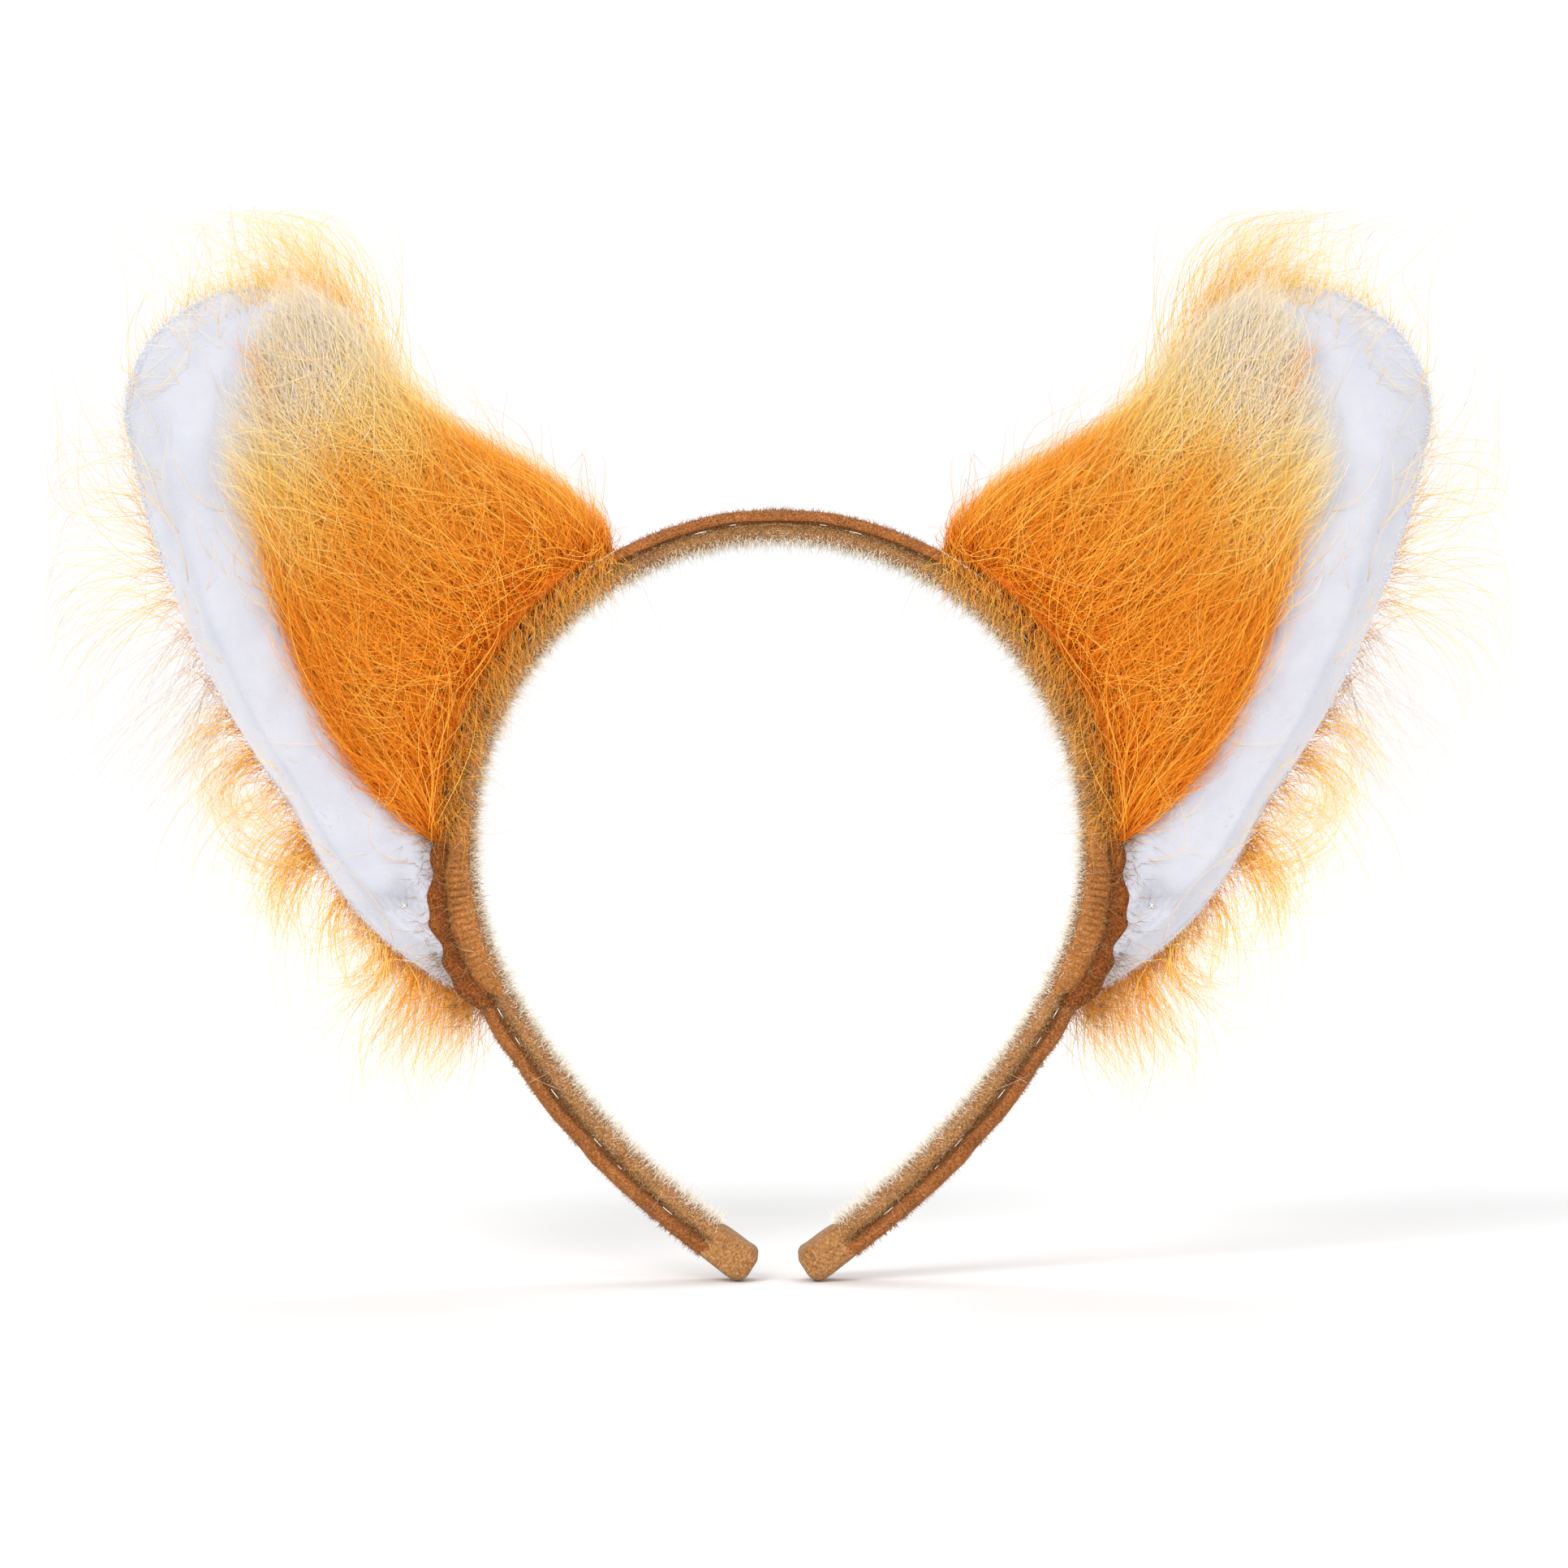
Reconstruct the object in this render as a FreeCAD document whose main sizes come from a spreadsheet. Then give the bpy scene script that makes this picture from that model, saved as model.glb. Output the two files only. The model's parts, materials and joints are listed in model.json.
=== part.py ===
import FreeCAD, Part
import math
import os
import Sketcher

# Fox-ears headband: a springy hoop in a fabric sleeve, with two plush ears sewn to it.
# Millimetres, +Z up, the front faces -Y.  The origin is the centre of the round head opening.
# The band is built in layers outwards from the head: lining, hoop, cover.
# Each ear is drawn in its own frame: X outwards from the band, Z along the seam to the crown.

SIDES = {"left": -1, "right": 1}

DIMENSIONS = {
    # band: the round part, then two straighter arms that meet at the tips
    "opening_radius": 61.5,
    "band_width": 14,
    "wrap_angle": 31,
    "arm_radius": 157,
    "arm_sweep": 25.9,
    "tip_sweep": 3.6,
    "tip_wall_sweep": 0.5,
    "tip_gap_sweep": 0.06,
    # band layers
    "lining_thickness": 2.3,
    "hoop_thickness": 2.2,
    "hoop_width": 11.3,
    "cover_thickness": 1.6,
    "edge_thickness": 1.2,
    "layer_gap": 0.15,
    "seam_height": 3.2,
    # flex points of the hoop, measured from the crown
    "flex_angle": 15,
    "flex_gap_angle": 0.1,
    # thread
    "thread_radius": 0.25,
    "stitch_length": 2.6,
    "stitch_pitch": 6,
    "stitch_clearance": 0.05,
    # ear frame and outline
    "ear_angle": 73,
    "fold_axis_clearance": 2,
    "rear_clearance": 3.6,
    "front_clearance": 7,
    "seam_half_angle": 44,
    "tip_start_out": 44,
    "tip_start_up": 77,
    "tip_end_out": 84.5,
    "tip_end_up": 44,
    "tip_radius": 28,
    "outer_edge_radius": 187,
    # front panels, which meet along a curved border
    "front_crown_angle": 42.5,
    "front_heel_angle": 37,
    "border_angle": 17,
    "border_gap_angle": 0.45,
    "border_radius": 80,
    "border_gap": 0.4,
    # ear layers: sizes along Y, and the scale of the core inside the outline
    "stiffener_thickness": 1.6,
    "stuffing_thickness": 3.8,
    "panel_gap": 0.2,
    "back_fur_thickness": 9,
    "front_fur_thickness": 7,
    "flap_thickness": 5,
    "core_scale": 0.84,
    "core_centre_out": 26,
    "core_centre_up": 8,
    # small sewn details
    "tab_thickness": 1.6,
    "tab_height": 2.2,
    "tab_half_angle": 30,
    "lip_start_angle": 90,
    "lip_end_angle": 118,
    "lip_overlap": 1.6,
    "lip_crest": 1,
    "lip_wave_radius": 14,
    "lip_front": 7.7,
    "lip_thickness": 1,
    "seam_inset": 2.4,
    "seam_stitch_count": 22,
    "tack_out": 1.5,
    "tack_up": -33,
    "tack_loop_radius": 1.3,
}

# Radii of the band's layers in its round part, as expressions of the sheet
LINING_IN = "Dims.opening_radius"
LINING_OUT = f"({LINING_IN} + Dims.lining_thickness)"
HOOP_IN = f"({LINING_OUT} + Dims.layer_gap)"
HOOP_OUT = f"({HOOP_IN} + Dims.hoop_thickness)"
COVER_IN = f"({HOOP_OUT} + Dims.layer_gap)"
BAND_OUT = f"({COVER_IN} + Dims.cover_thickness)"
SEAM_IN = f"({LINING_IN} + Dims.seam_height - Dims.layer_gap / 2)"
SEAM_OUT = f"({LINING_IN} + Dims.seam_height + Dims.layer_gap / 2)"
HALF_WIDTH = "Dims.band_width / 2"
HALF_INSIDE = "(Dims.band_width / 2 - Dims.edge_thickness)"
FOLD_RADIUS = f"({BAND_OUT} + Dims.fold_axis_clearance)"

doc = FreeCAD.newDocument("HeadbandWithEars")


def make_sheet():
    """Put every driving dimension in a cell with an alias."""
    sheet = doc.addObject("Spreadsheet::Sheet", "Dims")
    for row, (alias, value) in enumerate(DIMENSIONS.items(), start=1):
        sheet.set(f"A{row}", alias)
        sheet.set(f"B{row}", str(value))
        sheet.setAlias(f"B{row}", alias)
    doc.recompute()
    return sheet


dims = make_sheet()


def value(expression):
    """Number that an expression of the sheet gives now."""
    return float(dims.evalExpression(expression))


# ---------------------------------------------------------------- sketches

def new_sketch(body, name, plane_role):
    sketch = body.newObject("Sketcher::SketchObject", name)
    planes = {plane.Role: plane for plane in body.Origin.OriginFeatures}
    sketch.AttachmentSupport = [(planes[plane_role], "")]
    sketch.MapMode = "FlatFace"
    return sketch


def bind(sketch, kind, geometry, point, expression):
    """Constrain one coordinate or size of a sketch element to an expression."""
    amount = value(expression)
    if point is None:
        constraint = Sketcher.Constraint(kind, geometry, amount)
    else:
        constraint = Sketcher.Constraint(kind, geometry, point, amount)
    index = sketch.addConstraint(constraint)
    sketch.setExpression(f"Constraints[{index}]", expression)


def draw_section(sketch, corners):
    """Closed outline of level and upright lines through corners given as expressions."""
    points = [FreeCAD.Vector(value(x), value(y), 0) for x, y in corners]
    count = len(corners)
    for index in range(count):
        sketch.addGeometry(Part.LineSegment(points[index], points[(index + 1) % count]))
    for index in range(count):
        sketch.addConstraint(Sketcher.Constraint("Coincident", index, 2, (index + 1) % count, 1))
    for index in range(count):
        upright = corners[index][0] == corners[(index + 1) % count][0]
        sketch.addConstraint(Sketcher.Constraint("Vertical" if upright else "Horizontal", index))
        kind = "DistanceX" if upright else "DistanceY"
        bind(sketch, kind, index, 1, corners[index][0 if upright else 1])


def arc_middle(start, end, radius):
    """Middle point of the shorter arc; a positive radius bulges to the right of start-end."""
    chord = end - start
    rise = abs(radius) - math.sqrt(radius ** 2 - (chord.Length / 2) ** 2)
    right = FreeCAD.Vector(chord.y, -chord.x, 0).normalize()
    return (start + end) / 2 + right * math.copysign(rise, radius)


def draw_outline(sketch, side, corners, radii):
    """Closed outline of arcs and lines.

    corners are pairs of expressions for the right-hand side; side -1 mirrors them.
    radii[i] belongs to the edge after corner i: positive bulges out of an anticlockwise
    outline, negative bulges in, and None is a straight line.
    """
    corners = [(f"{side} * ({out})", up) for out, up in corners]
    points = [FreeCAD.Vector(value(out), value(up), 0) for out, up in corners]
    count = len(corners)
    ends = []
    for index, radius in enumerate(radii):
        start = points[index]
        end = points[(index + 1) % count]
        ends.append((1, 2))
        if radius is None:
            sketch.addGeometry(Part.LineSegment(start, end))
            continue
        signed = side * value(radius)
        middle = arc_middle(start, end, signed)
        if signed < 0:
            # an arc in a sketch runs anticlockwise, so this one is stored end first
            start, end = end, start
            ends[-1] = (2, 1)
        sketch.addGeometry(Part.Arc(start, middle, end))
    for index, (out, up) in enumerate(corners):
        before = (index - 1) % count
        first, last = ends[index][0], ends[before][1]
        sketch.addConstraint(Sketcher.Constraint("Coincident", before, last, index, first))
        bind(sketch, "DistanceX", index, first, out)
        bind(sketch, "DistanceY", index, first, up)
        if radii[index] is not None:
            bind(sketch, "Radius", index, None, radii[index].lstrip("-"))


# ---------------------------------------------------------------- band

def hoop_section():
    half = "Dims.hoop_width / 2"
    return [(HOOP_IN, f"-{half}"), (HOOP_OUT, f"-{half}"), (HOOP_OUT, half), (HOOP_IN, half)]


def channel_section(face, floor, rim):
    """Channel that opens from its face towards the rim, with a wall along each edge."""
    return [
        (face, f"-{HALF_WIDTH}"), (face, HALF_WIDTH),
        (rim, HALF_WIDTH), (rim, HALF_INSIDE),
        (floor, HALF_INSIDE), (floor, f"-{HALF_INSIDE}"),
        (rim, f"-{HALF_INSIDE}"), (rim, f"-{HALF_WIDTH}"),
    ]


def lining_section():
    return channel_section(LINING_IN, LINING_OUT, SEAM_IN)


def cover_section():
    return channel_section(BAND_OUT, COVER_IN, SEAM_OUT)


def block_section():
    return [(LINING_IN, f"-{HALF_WIDTH}"), (BAND_OUT, f"-{HALF_WIDTH}"),
            (BAND_OUT, HALF_WIDTH), (LINING_IN, HALF_WIDTH)]


def pocket_section():
    half = f"({HALF_INSIDE})"
    return [(f"({HOOP_IN} - Dims.layer_gap)", f"-{half}"), (COVER_IN, f"-{half}"),
            (COVER_IN, half), (f"({HOOP_IN} - Dims.layer_gap)", half)]


def section_sketch(body, name, section, side, turn):
    """Band section on the given side, turned about the opening's centre by an expression."""
    sketch = new_sketch(body, name, "XY_Plane")
    sketch.AttachmentOffset = FreeCAD.Placement(
        FreeCAD.Vector(), FreeCAD.Rotation(FreeCAD.Vector(0, 1, 0), 1))
    sketch.setExpression("AttachmentOffset.Rotation.Angle", turn)
    draw_section(sketch, [(f"{side} * {radius}", width) for radius, width in section])
    return sketch


def sweep_crown(body, section):
    """Top of the round part, between the two flex points."""
    sketch = section_sketch(body, "CrownSection", section, 1, "-90")
    sweep = body.newObject("PartDesign::Revolution", "CrownSweep")
    sweep.Profile = sketch
    sweep.ReferenceAxis = (sketch, ["V_Axis"])
    sweep.Midplane = True
    sweep.setExpression("Angle", "2 * Dims.flex_angle")


def sweep_side(body, section, side):
    """Side of the round part, from the flex point to the end of the wrap."""
    sketch = section_sketch(body, "SideSection", section, side, "0")
    sweep = body.newObject("PartDesign::Revolution", "SideSweep")
    sweep.Profile = sketch
    sweep.ReferenceAxis = (sketch, ["V_Axis"])
    sweep.Type = "TwoAngles"
    upper = "90 - Dims.flex_angle - Dims.flex_gap_angle"
    lower = "Dims.wrap_angle"
    sweep.setExpression("Angle", upper if side < 0 else lower)
    sweep.setExpression("Angle2", lower if side < 0 else upper)


def sweep_arm(body, section, side, sweep_angle, start_angle="0", cut=False):
    """Straighter arm, tangent to the round part; its arc is centred across the opening."""
    name = "Groove" if cut else "Revolution"
    sketch = section_sketch(body, f"Arm{name}Section", section, side, f"{side} * Dims.wrap_angle")
    centre = f"{-side} * (Dims.arm_radius - Dims.opening_radius)"
    across = value(centre)
    axis = Part.LineSegment(FreeCAD.Vector(across, -1, 0), FreeCAD.Vector(across, 1, 0))
    line = sketch.addGeometry(axis, True)
    sketch.addConstraint(Sketcher.Constraint("Vertical", line))
    bind(sketch, "DistanceX", line, 1, centre)
    sweep = body.newObject(f"PartDesign::{name}", f"Arm{name}")
    sweep.Profile = sketch
    sweep.ReferenceAxis = (sketch, ["Axis0"])
    sweep.Type = "TwoAngles"
    sweep.Reversed = side < 0
    sweep.setExpression("Angle", sweep_angle)
    sweep.setExpression("Angle2", f"-({start_angle})")
    return sweep


def new_body(label):
    body = doc.addObject("PartDesign::Body", label)
    body.Label = label
    return body


def band_layer(name, section, arm_end):
    """One layer of the band as a crown piece and two arm pieces; gives their bodies."""
    crown = new_body(f"{name}_crown")
    sweep_crown(crown, section)
    bodies = [crown]
    for label, side in SIDES.items():
        body = new_body(f"{name}_{label}_arm")
        sweep_side(body, section, side)
        sweep_arm(body, section, side, arm_end)
        bodies.append(body)
    return bodies


def tip_fold(label, side):
    """Closed sleeve over the end of one arm, with a pocket for the hoop."""
    body = new_body(label)
    start = "Dims.arm_sweep - Dims.tip_sweep + Dims.tip_gap_sweep"
    sweep_arm(body, block_section(), side, "Dims.arm_sweep", start)
    doc.recompute()
    solid_volume = body.Shape.Volume
    sweep_arm(body, pocket_section(), side, "Dims.arm_sweep - Dims.tip_wall_sweep", cut=True)
    doc.recompute()
    if body.Shape.Volume > 0.9 * solid_volume:
        raise RuntimeError(f"{label}: the pocket cut nothing")
    return body


def round_point(radius, crown_angle):
    """Point of the band's plane at an angle from the crown, as a pair of expressions."""
    return f"({radius}) * sin({crown_angle})", f"({radius}) * cos({crown_angle})"


def cover_lip(label, side):
    """Wavy fold of the cover in front of the ear's foot."""
    first = "Dims.lip_start_angle"
    last = "Dims.lip_end_angle"
    third = f"({last} - {first}) / 3"
    inner = f"({BAND_OUT} - Dims.lip_overlap)"
    crest = f"({BAND_OUT} + Dims.lip_crest)"
    wave = "Dims.lip_wave_radius"
    corners = [
        round_point(BAND_OUT, last), round_point(crest, f"{last} - {third}"),
        round_point(crest, f"{first} + {third}"), round_point(BAND_OUT, first),
        round_point(inner, first), round_point(inner, last),
    ]
    radii = [wave, wave, wave, None, f"-{inner}", None]
    body = new_body(label)
    pad_outline(body, "Lip", side, corners, radii, "Dims.lip_front", "Dims.lip_thickness")
    return body


def pad_outline(body, name, side, corners, radii, start, thickness):
    """Slab of an outline drawn in the XZ plane, from y = -start towards the front."""
    sketch = new_sketch(body, f"{name}Outline", "XZ_Plane")
    sketch.setExpression("AttachmentOffset.Base.z", start)
    draw_outline(sketch, side, corners, radii)
    pad = body.newObject("PartDesign::Pad", name)
    pad.Profile = sketch
    pad.setExpression("Length", thickness)
    return pad


# ---------------------------------------------------------------- thread on the band

def stitch(middle, along):
    """One straight thread bar with its middle and direction given."""
    length = value("Dims.stitch_length")
    return Part.makeCylinder(value("Dims.thread_radius"), length, middle - along * length / 2, along)


def seam_depth():
    return value(f"{HALF_WIDTH} + Dims.thread_radius + Dims.stitch_clearance")


def arc_stitches(centre, radius, first_angle, last_angle):
    """Bars along both edges of an arc of the band; angles in degrees from +Z towards +X."""
    pitch = math.degrees(value("Dims.stitch_pitch") / radius)
    count = int(abs(last_angle - first_angle) / pitch)
    step = (last_angle - first_angle) / count
    bars = []
    for index in range(count):
        angle = math.radians(first_angle + step * (index + 0.5))
        outward = FreeCAD.Vector(math.sin(angle), 0, math.cos(angle))
        along = FreeCAD.Vector(math.cos(angle), 0, -math.sin(angle))
        for depth in (-seam_depth(), seam_depth()):
            bars.append(stitch(centre + outward * radius + FreeCAD.Vector(0, depth, 0), along))
    return bars


def stitch_group(label, bars, placement=None):
    group = doc.addObject("Part::Feature", label)
    group.Label = label
    group.Shape = Part.makeCompound(bars)
    group.Placement = placement or FreeCAD.Placement()
    return group


def edge_stitches():
    """Thread along the seam between cover and lining, grouped like the band's pieces."""
    origin = FreeCAD.Vector()
    radius = value("Dims.opening_radius + Dims.seam_height")
    flex = value("Dims.flex_angle")
    wrap = value("90 + Dims.wrap_angle")
    arm_end = value("Dims.arm_sweep - Dims.tip_sweep")
    arm_shift = value("Dims.arm_radius - Dims.opening_radius")
    groups = [stitch_group("edge_stitches_crown", arc_stitches(origin, radius, -flex, flex))]
    for label, side in SIDES.items():
        bars = arc_stitches(origin, radius, side * flex, side * wrap)
        turn = math.radians(wrap)
        centre = FreeCAD.Vector(-side * math.sin(turn), 0, -math.cos(turn)) * arm_shift
        bars += arc_stitches(centre, radius + arm_shift, side * wrap, side * (wrap + arm_end))
        groups.append(stitch_group(f"edge_stitches_{label}_arm", bars))
    return groups


# ---------------------------------------------------------------- ears

def seam_point(radius, angle):
    """Point on a circle round the opening, in the ear frame, as a pair of expressions."""
    return (f"({radius}) * cos({angle}) - {FOLD_RADIUS}", f"({radius}) * sin({angle})")


REAR_RADIUS = f"({BAND_OUT} + Dims.rear_clearance)"
FRONT_RADIUS = f"({BAND_OUT} + Dims.front_clearance)"
TIP_START = ("Dims.tip_start_out", "Dims.tip_start_up")
TIP_END = ("Dims.tip_end_out", "Dims.tip_end_up")


def whole_outline():
    """Whole ear: outer edge, round tip, crown edge and the seam along the band."""
    corners = [seam_point(REAR_RADIUS, "-Dims.seam_half_angle"), TIP_END, TIP_START,
               seam_point(REAR_RADIUS, "Dims.seam_half_angle")]
    radii = ["Dims.outer_edge_radius", "Dims.tip_radius", None, f"-{REAR_RADIUS}"]
    return corners, radii


def core_outline():
    """The whole outline, drawn smaller about the middle of the ear."""
    corners, radii = whole_outline()
    corners = [(shrink(out, "Dims.core_centre_out"), shrink(up, "Dims.core_centre_up"))
               for out, up in corners]
    radii = [radius and scaled(radius) for radius in radii]
    return corners, radii


def shrink(position, centre):
    return f"{centre} + Dims.core_scale * ({position} - {centre})"


def scaled(radius):
    sign = "-" if radius.startswith("-") else ""
    return f"{sign}(Dims.core_scale * {radius.lstrip('-')})"


def flap_outline():
    """Crescent along the outer edge, round the tip and back down the border."""
    corners = [seam_point(FRONT_RADIUS, "-Dims.front_heel_angle"), TIP_END, TIP_START,
               seam_point(FRONT_RADIUS, "-Dims.border_angle")]
    radii = ["Dims.outer_edge_radius", "Dims.tip_radius", "-Dims.border_radius",
             f"-{FRONT_RADIUS}"]
    return corners, radii


def front_fur_outline():
    """Crown side of the front, between the border and the crown edge."""
    border_end = ("Dims.tip_start_out - Dims.border_gap", "Dims.tip_start_up")
    corners = [seam_point(FRONT_RADIUS, "Dims.border_gap_angle - Dims.border_angle"), border_end,
               seam_point(FRONT_RADIUS, "Dims.front_crown_angle")]
    radii = ["Dims.border_radius", None, f"-{FRONT_RADIUS}"]
    return corners, radii


def tab_outline():
    """Strip that follows the cover along the ear's seam."""
    inner = f"({BAND_OUT} + Dims.layer_gap)"
    outer = f"({BAND_OUT} + Dims.tab_height)"
    half = "Dims.tab_half_angle"
    corners = [seam_point(inner, f"-{half}"), seam_point(outer, f"-{half}"),
               seam_point(outer, half), seam_point(inner, half)]
    return corners, [None, outer, None, f"-{inner}"]


def place_in_ear_frame(piece, side):
    piece.Placement = FreeCAD.Placement(
        FreeCAD.Vector(), FreeCAD.Rotation(FreeCAD.Vector(0, 1, 0), 1))
    piece.setExpression("Placement.Base.x", f"{side} * {FOLD_RADIUS} * sin(Dims.ear_angle)")
    piece.setExpression("Placement.Base.z", f"{FOLD_RADIUS} * cos(Dims.ear_angle)")
    piece.setExpression("Placement.Rotation.Angle", f"{side} * (Dims.ear_angle - 90)")


def ear_slab(label, side, outline, start, thickness):
    """Flat ear piece from y = -start towards the front by its thickness."""
    body = new_body(label)
    corners, radii = outline
    pad_outline(body, "Panel", side, corners, radii, start, thickness)
    place_in_ear_frame(body, side)
    return body


def seam_stitches(label, side, placement):
    """Thread bars between the flap and the back panel, just inside the outer edge."""
    corners = whole_outline()[0][:2]
    start, end = [FreeCAD.Vector(side * value(out), value(up), 0) for out, up in corners]
    middle = arc_middle(start, end, side * value("Dims.outer_edge_radius"))
    edge = Part.Arc(start, middle, end).toShape()
    centre = edge.Curve.Center
    count = int(value("Dims.seam_stitch_count"))
    rear = value("Dims.stiffener_thickness / 2")
    length = value("Dims.stiffener_thickness + Dims.stuffing_thickness + Dims.panel_gap")
    bars = []
    for point in edge.discretize(count + 2)[1:-1]:
        inside = point + (centre - point).normalize() * value("Dims.seam_inset")
        foot = FreeCAD.Vector(inside.x, rear, inside.y)
        bars.append(Part.makeCylinder(value("Dims.thread_radius"), length, foot,
                                      FreeCAD.Vector(0, -1, 0)))
    return stitch_group(label, bars, placement)


def tack_stitch(label, side, frame):
    """Loop of thread that lies on the flap near the band."""
    loop = doc.addObject("Part::Torus", label)
    loop.Label = label
    loop.setExpression("Radius1", "Dims.tack_loop_radius")
    loop.setExpression("Radius2", "Dims.thread_radius")
    depth = value("Dims.stiffener_thickness / 2 + Dims.stuffing_thickness + 2 * Dims.panel_gap"
                  " + Dims.flap_thickness + Dims.thread_radius + Dims.stitch_clearance")
    spot = FreeCAD.Vector(side * value("Dims.tack_out"), -depth, value("Dims.tack_up"))
    face_front = FreeCAD.Rotation(FreeCAD.Vector(1, 0, 0), 90)
    loop.Placement = frame.multiply(FreeCAD.Placement(spot, face_front))
    return loop


def ear(label, side):
    """All the pieces of one ear."""
    half_stiffener = "(Dims.stiffener_thickness / 2)"
    core_front = f"({half_stiffener} + Dims.panel_gap)"
    panel_back = f"({core_front} + Dims.stuffing_thickness + Dims.panel_gap)"
    back_start = f"-({core_front} + Dims.back_fur_thickness)"
    tab = ear_slab(f"base_tab_{label}", side, tab_outline(),
                   "-Dims.tab_thickness / 2", "Dims.tab_thickness")
    stiffener = ear_slab(f"stiffener_{label}", side, core_outline(),
                         f"-{half_stiffener}", "Dims.stiffener_thickness")
    stuffing = ear_slab(f"stuffing_{label}", side, core_outline(),
                        core_front, "Dims.stuffing_thickness")
    back_fur = ear_slab(f"back_fur_{label}", side, whole_outline(),
                        back_start, "Dims.back_fur_thickness")
    front_fur = ear_slab(f"front_fur_{label}", side, front_fur_outline(),
                         panel_back, "Dims.front_fur_thickness")
    flap = ear_slab(f"fleece_flap_{label}", side, flap_outline(),
                    panel_back, "Dims.flap_thickness")
    doc.recompute()
    frame = flap.Placement
    stitches = seam_stitches(f"seam_stitches_{label}", side, frame)
    tack = tack_stitch(f"tack_stitch_{label}", side, frame)
    return [tab, stiffener, stuffing, back_fur, front_fur, flap, stitches, tack]


# ---------------------------------------------------------------- build, check and write

def build_pieces():
    fabric_end = "Dims.arm_sweep - Dims.tip_sweep"
    hoop_end = "Dims.arm_sweep - Dims.tip_wall_sweep - Dims.tip_gap_sweep"
    pieces = band_layer("hoop", hoop_section(), hoop_end)
    pieces += band_layer("lining", lining_section(), fabric_end)
    pieces += band_layer("cover", cover_section(), fabric_end)
    for label, side in SIDES.items():
        pieces.append(tip_fold(f"tip_fold_{label}", side))
        pieces.append(cover_lip(f"cover_lip_{label}", side))
        pieces += ear(label, side)
    pieces += edge_stitches()
    doc.recompute()
    return pieces


def check(pieces):
    for item in doc.Objects:
        if "Invalid" in item.State or "Error" in item.State:
            raise RuntimeError(f"{item.Name} failed: {item.State}")
    for piece in pieces:
        if piece.Shape.isNull() or not piece.Shape.isValid() or not piece.Shape.Solids:
            raise RuntimeError(f"{piece.Label} has no valid solid")


def write(pieces):
    os.makedirs("parts", exist_ok=True)
    for piece in pieces:
        piece.Shape.exportStep(f"parts/{piece.Label}.step")


parts = build_pieces()
check(parts)
write(parts)
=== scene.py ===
import json
import math

import bmesh
import bpy
import numpy as np
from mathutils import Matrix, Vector


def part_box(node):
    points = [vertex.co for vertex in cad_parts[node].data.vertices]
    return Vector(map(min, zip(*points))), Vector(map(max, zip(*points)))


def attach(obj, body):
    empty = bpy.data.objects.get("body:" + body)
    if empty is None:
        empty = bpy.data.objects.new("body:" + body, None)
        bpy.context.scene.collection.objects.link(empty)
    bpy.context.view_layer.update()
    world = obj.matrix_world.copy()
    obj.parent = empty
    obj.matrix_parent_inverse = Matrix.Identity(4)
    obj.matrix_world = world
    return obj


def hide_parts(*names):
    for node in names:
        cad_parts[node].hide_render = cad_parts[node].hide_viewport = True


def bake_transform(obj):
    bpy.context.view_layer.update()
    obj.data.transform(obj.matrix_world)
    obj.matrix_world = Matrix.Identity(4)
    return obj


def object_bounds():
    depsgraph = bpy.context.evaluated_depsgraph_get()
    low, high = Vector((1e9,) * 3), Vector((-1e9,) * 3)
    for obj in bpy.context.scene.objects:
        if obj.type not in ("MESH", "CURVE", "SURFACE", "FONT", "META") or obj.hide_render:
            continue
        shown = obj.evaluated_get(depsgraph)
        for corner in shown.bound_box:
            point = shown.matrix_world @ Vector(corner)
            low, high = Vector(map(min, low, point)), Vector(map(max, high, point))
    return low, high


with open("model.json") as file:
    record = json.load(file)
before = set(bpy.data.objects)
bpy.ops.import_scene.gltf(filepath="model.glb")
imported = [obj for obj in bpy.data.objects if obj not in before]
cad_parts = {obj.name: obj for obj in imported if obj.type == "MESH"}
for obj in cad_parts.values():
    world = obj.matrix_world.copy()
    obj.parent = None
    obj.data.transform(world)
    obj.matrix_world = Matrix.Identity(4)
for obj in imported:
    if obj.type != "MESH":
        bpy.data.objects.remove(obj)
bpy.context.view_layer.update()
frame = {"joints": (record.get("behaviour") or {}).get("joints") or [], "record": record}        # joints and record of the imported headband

# Looks of the fox-ears headband: fabric band, plush ears and long-pile fur.
# Lengths are metres.  Left is -X, the front faces -Y.

MM = 0.001
SIDES = {"left": -1, "right": 1}

# ---- sizes from the frame
OPENING = frame["record"]["mounts"][0]["dims"]["r_mm"] * MM
BAND_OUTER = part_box("cover_crown")[1].z
BAND_THICK = BAND_OUTER - OPENING
BAND_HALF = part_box("cover_crown")[1].y

# ---- the band's path: a round part, then straighter arms
WRAP_ANGLE = math.radians(121)
ARM_RADIUS = 157 * MM
ARM_SWEEP = math.radians(25.9)
ROUND_LENGTH = OPENING * WRAP_ANGLE
BAND_LENGTH = ROUND_LENGTH + ARM_RADIUS * ARM_SWEEP
TIP_LENGTH = 10 * MM
ARM_SLACK = 1.4 * MM    # the soft cover sits proud of the hoop on the arms


def smooth(value):
    """Smooth step from 0 to 1."""
    t = np.clip(value, 0, 1)
    return t * t * (3 - 2 * t)


def between(line, place):
    """Points of a line at places counted in its own points, such as 2.5."""
    low = place.astype(int).clip(0, len(line) - 2)
    part = (place - low)[..., None]
    return line[low] * (1 - part) + line[low + 1] * part


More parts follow.
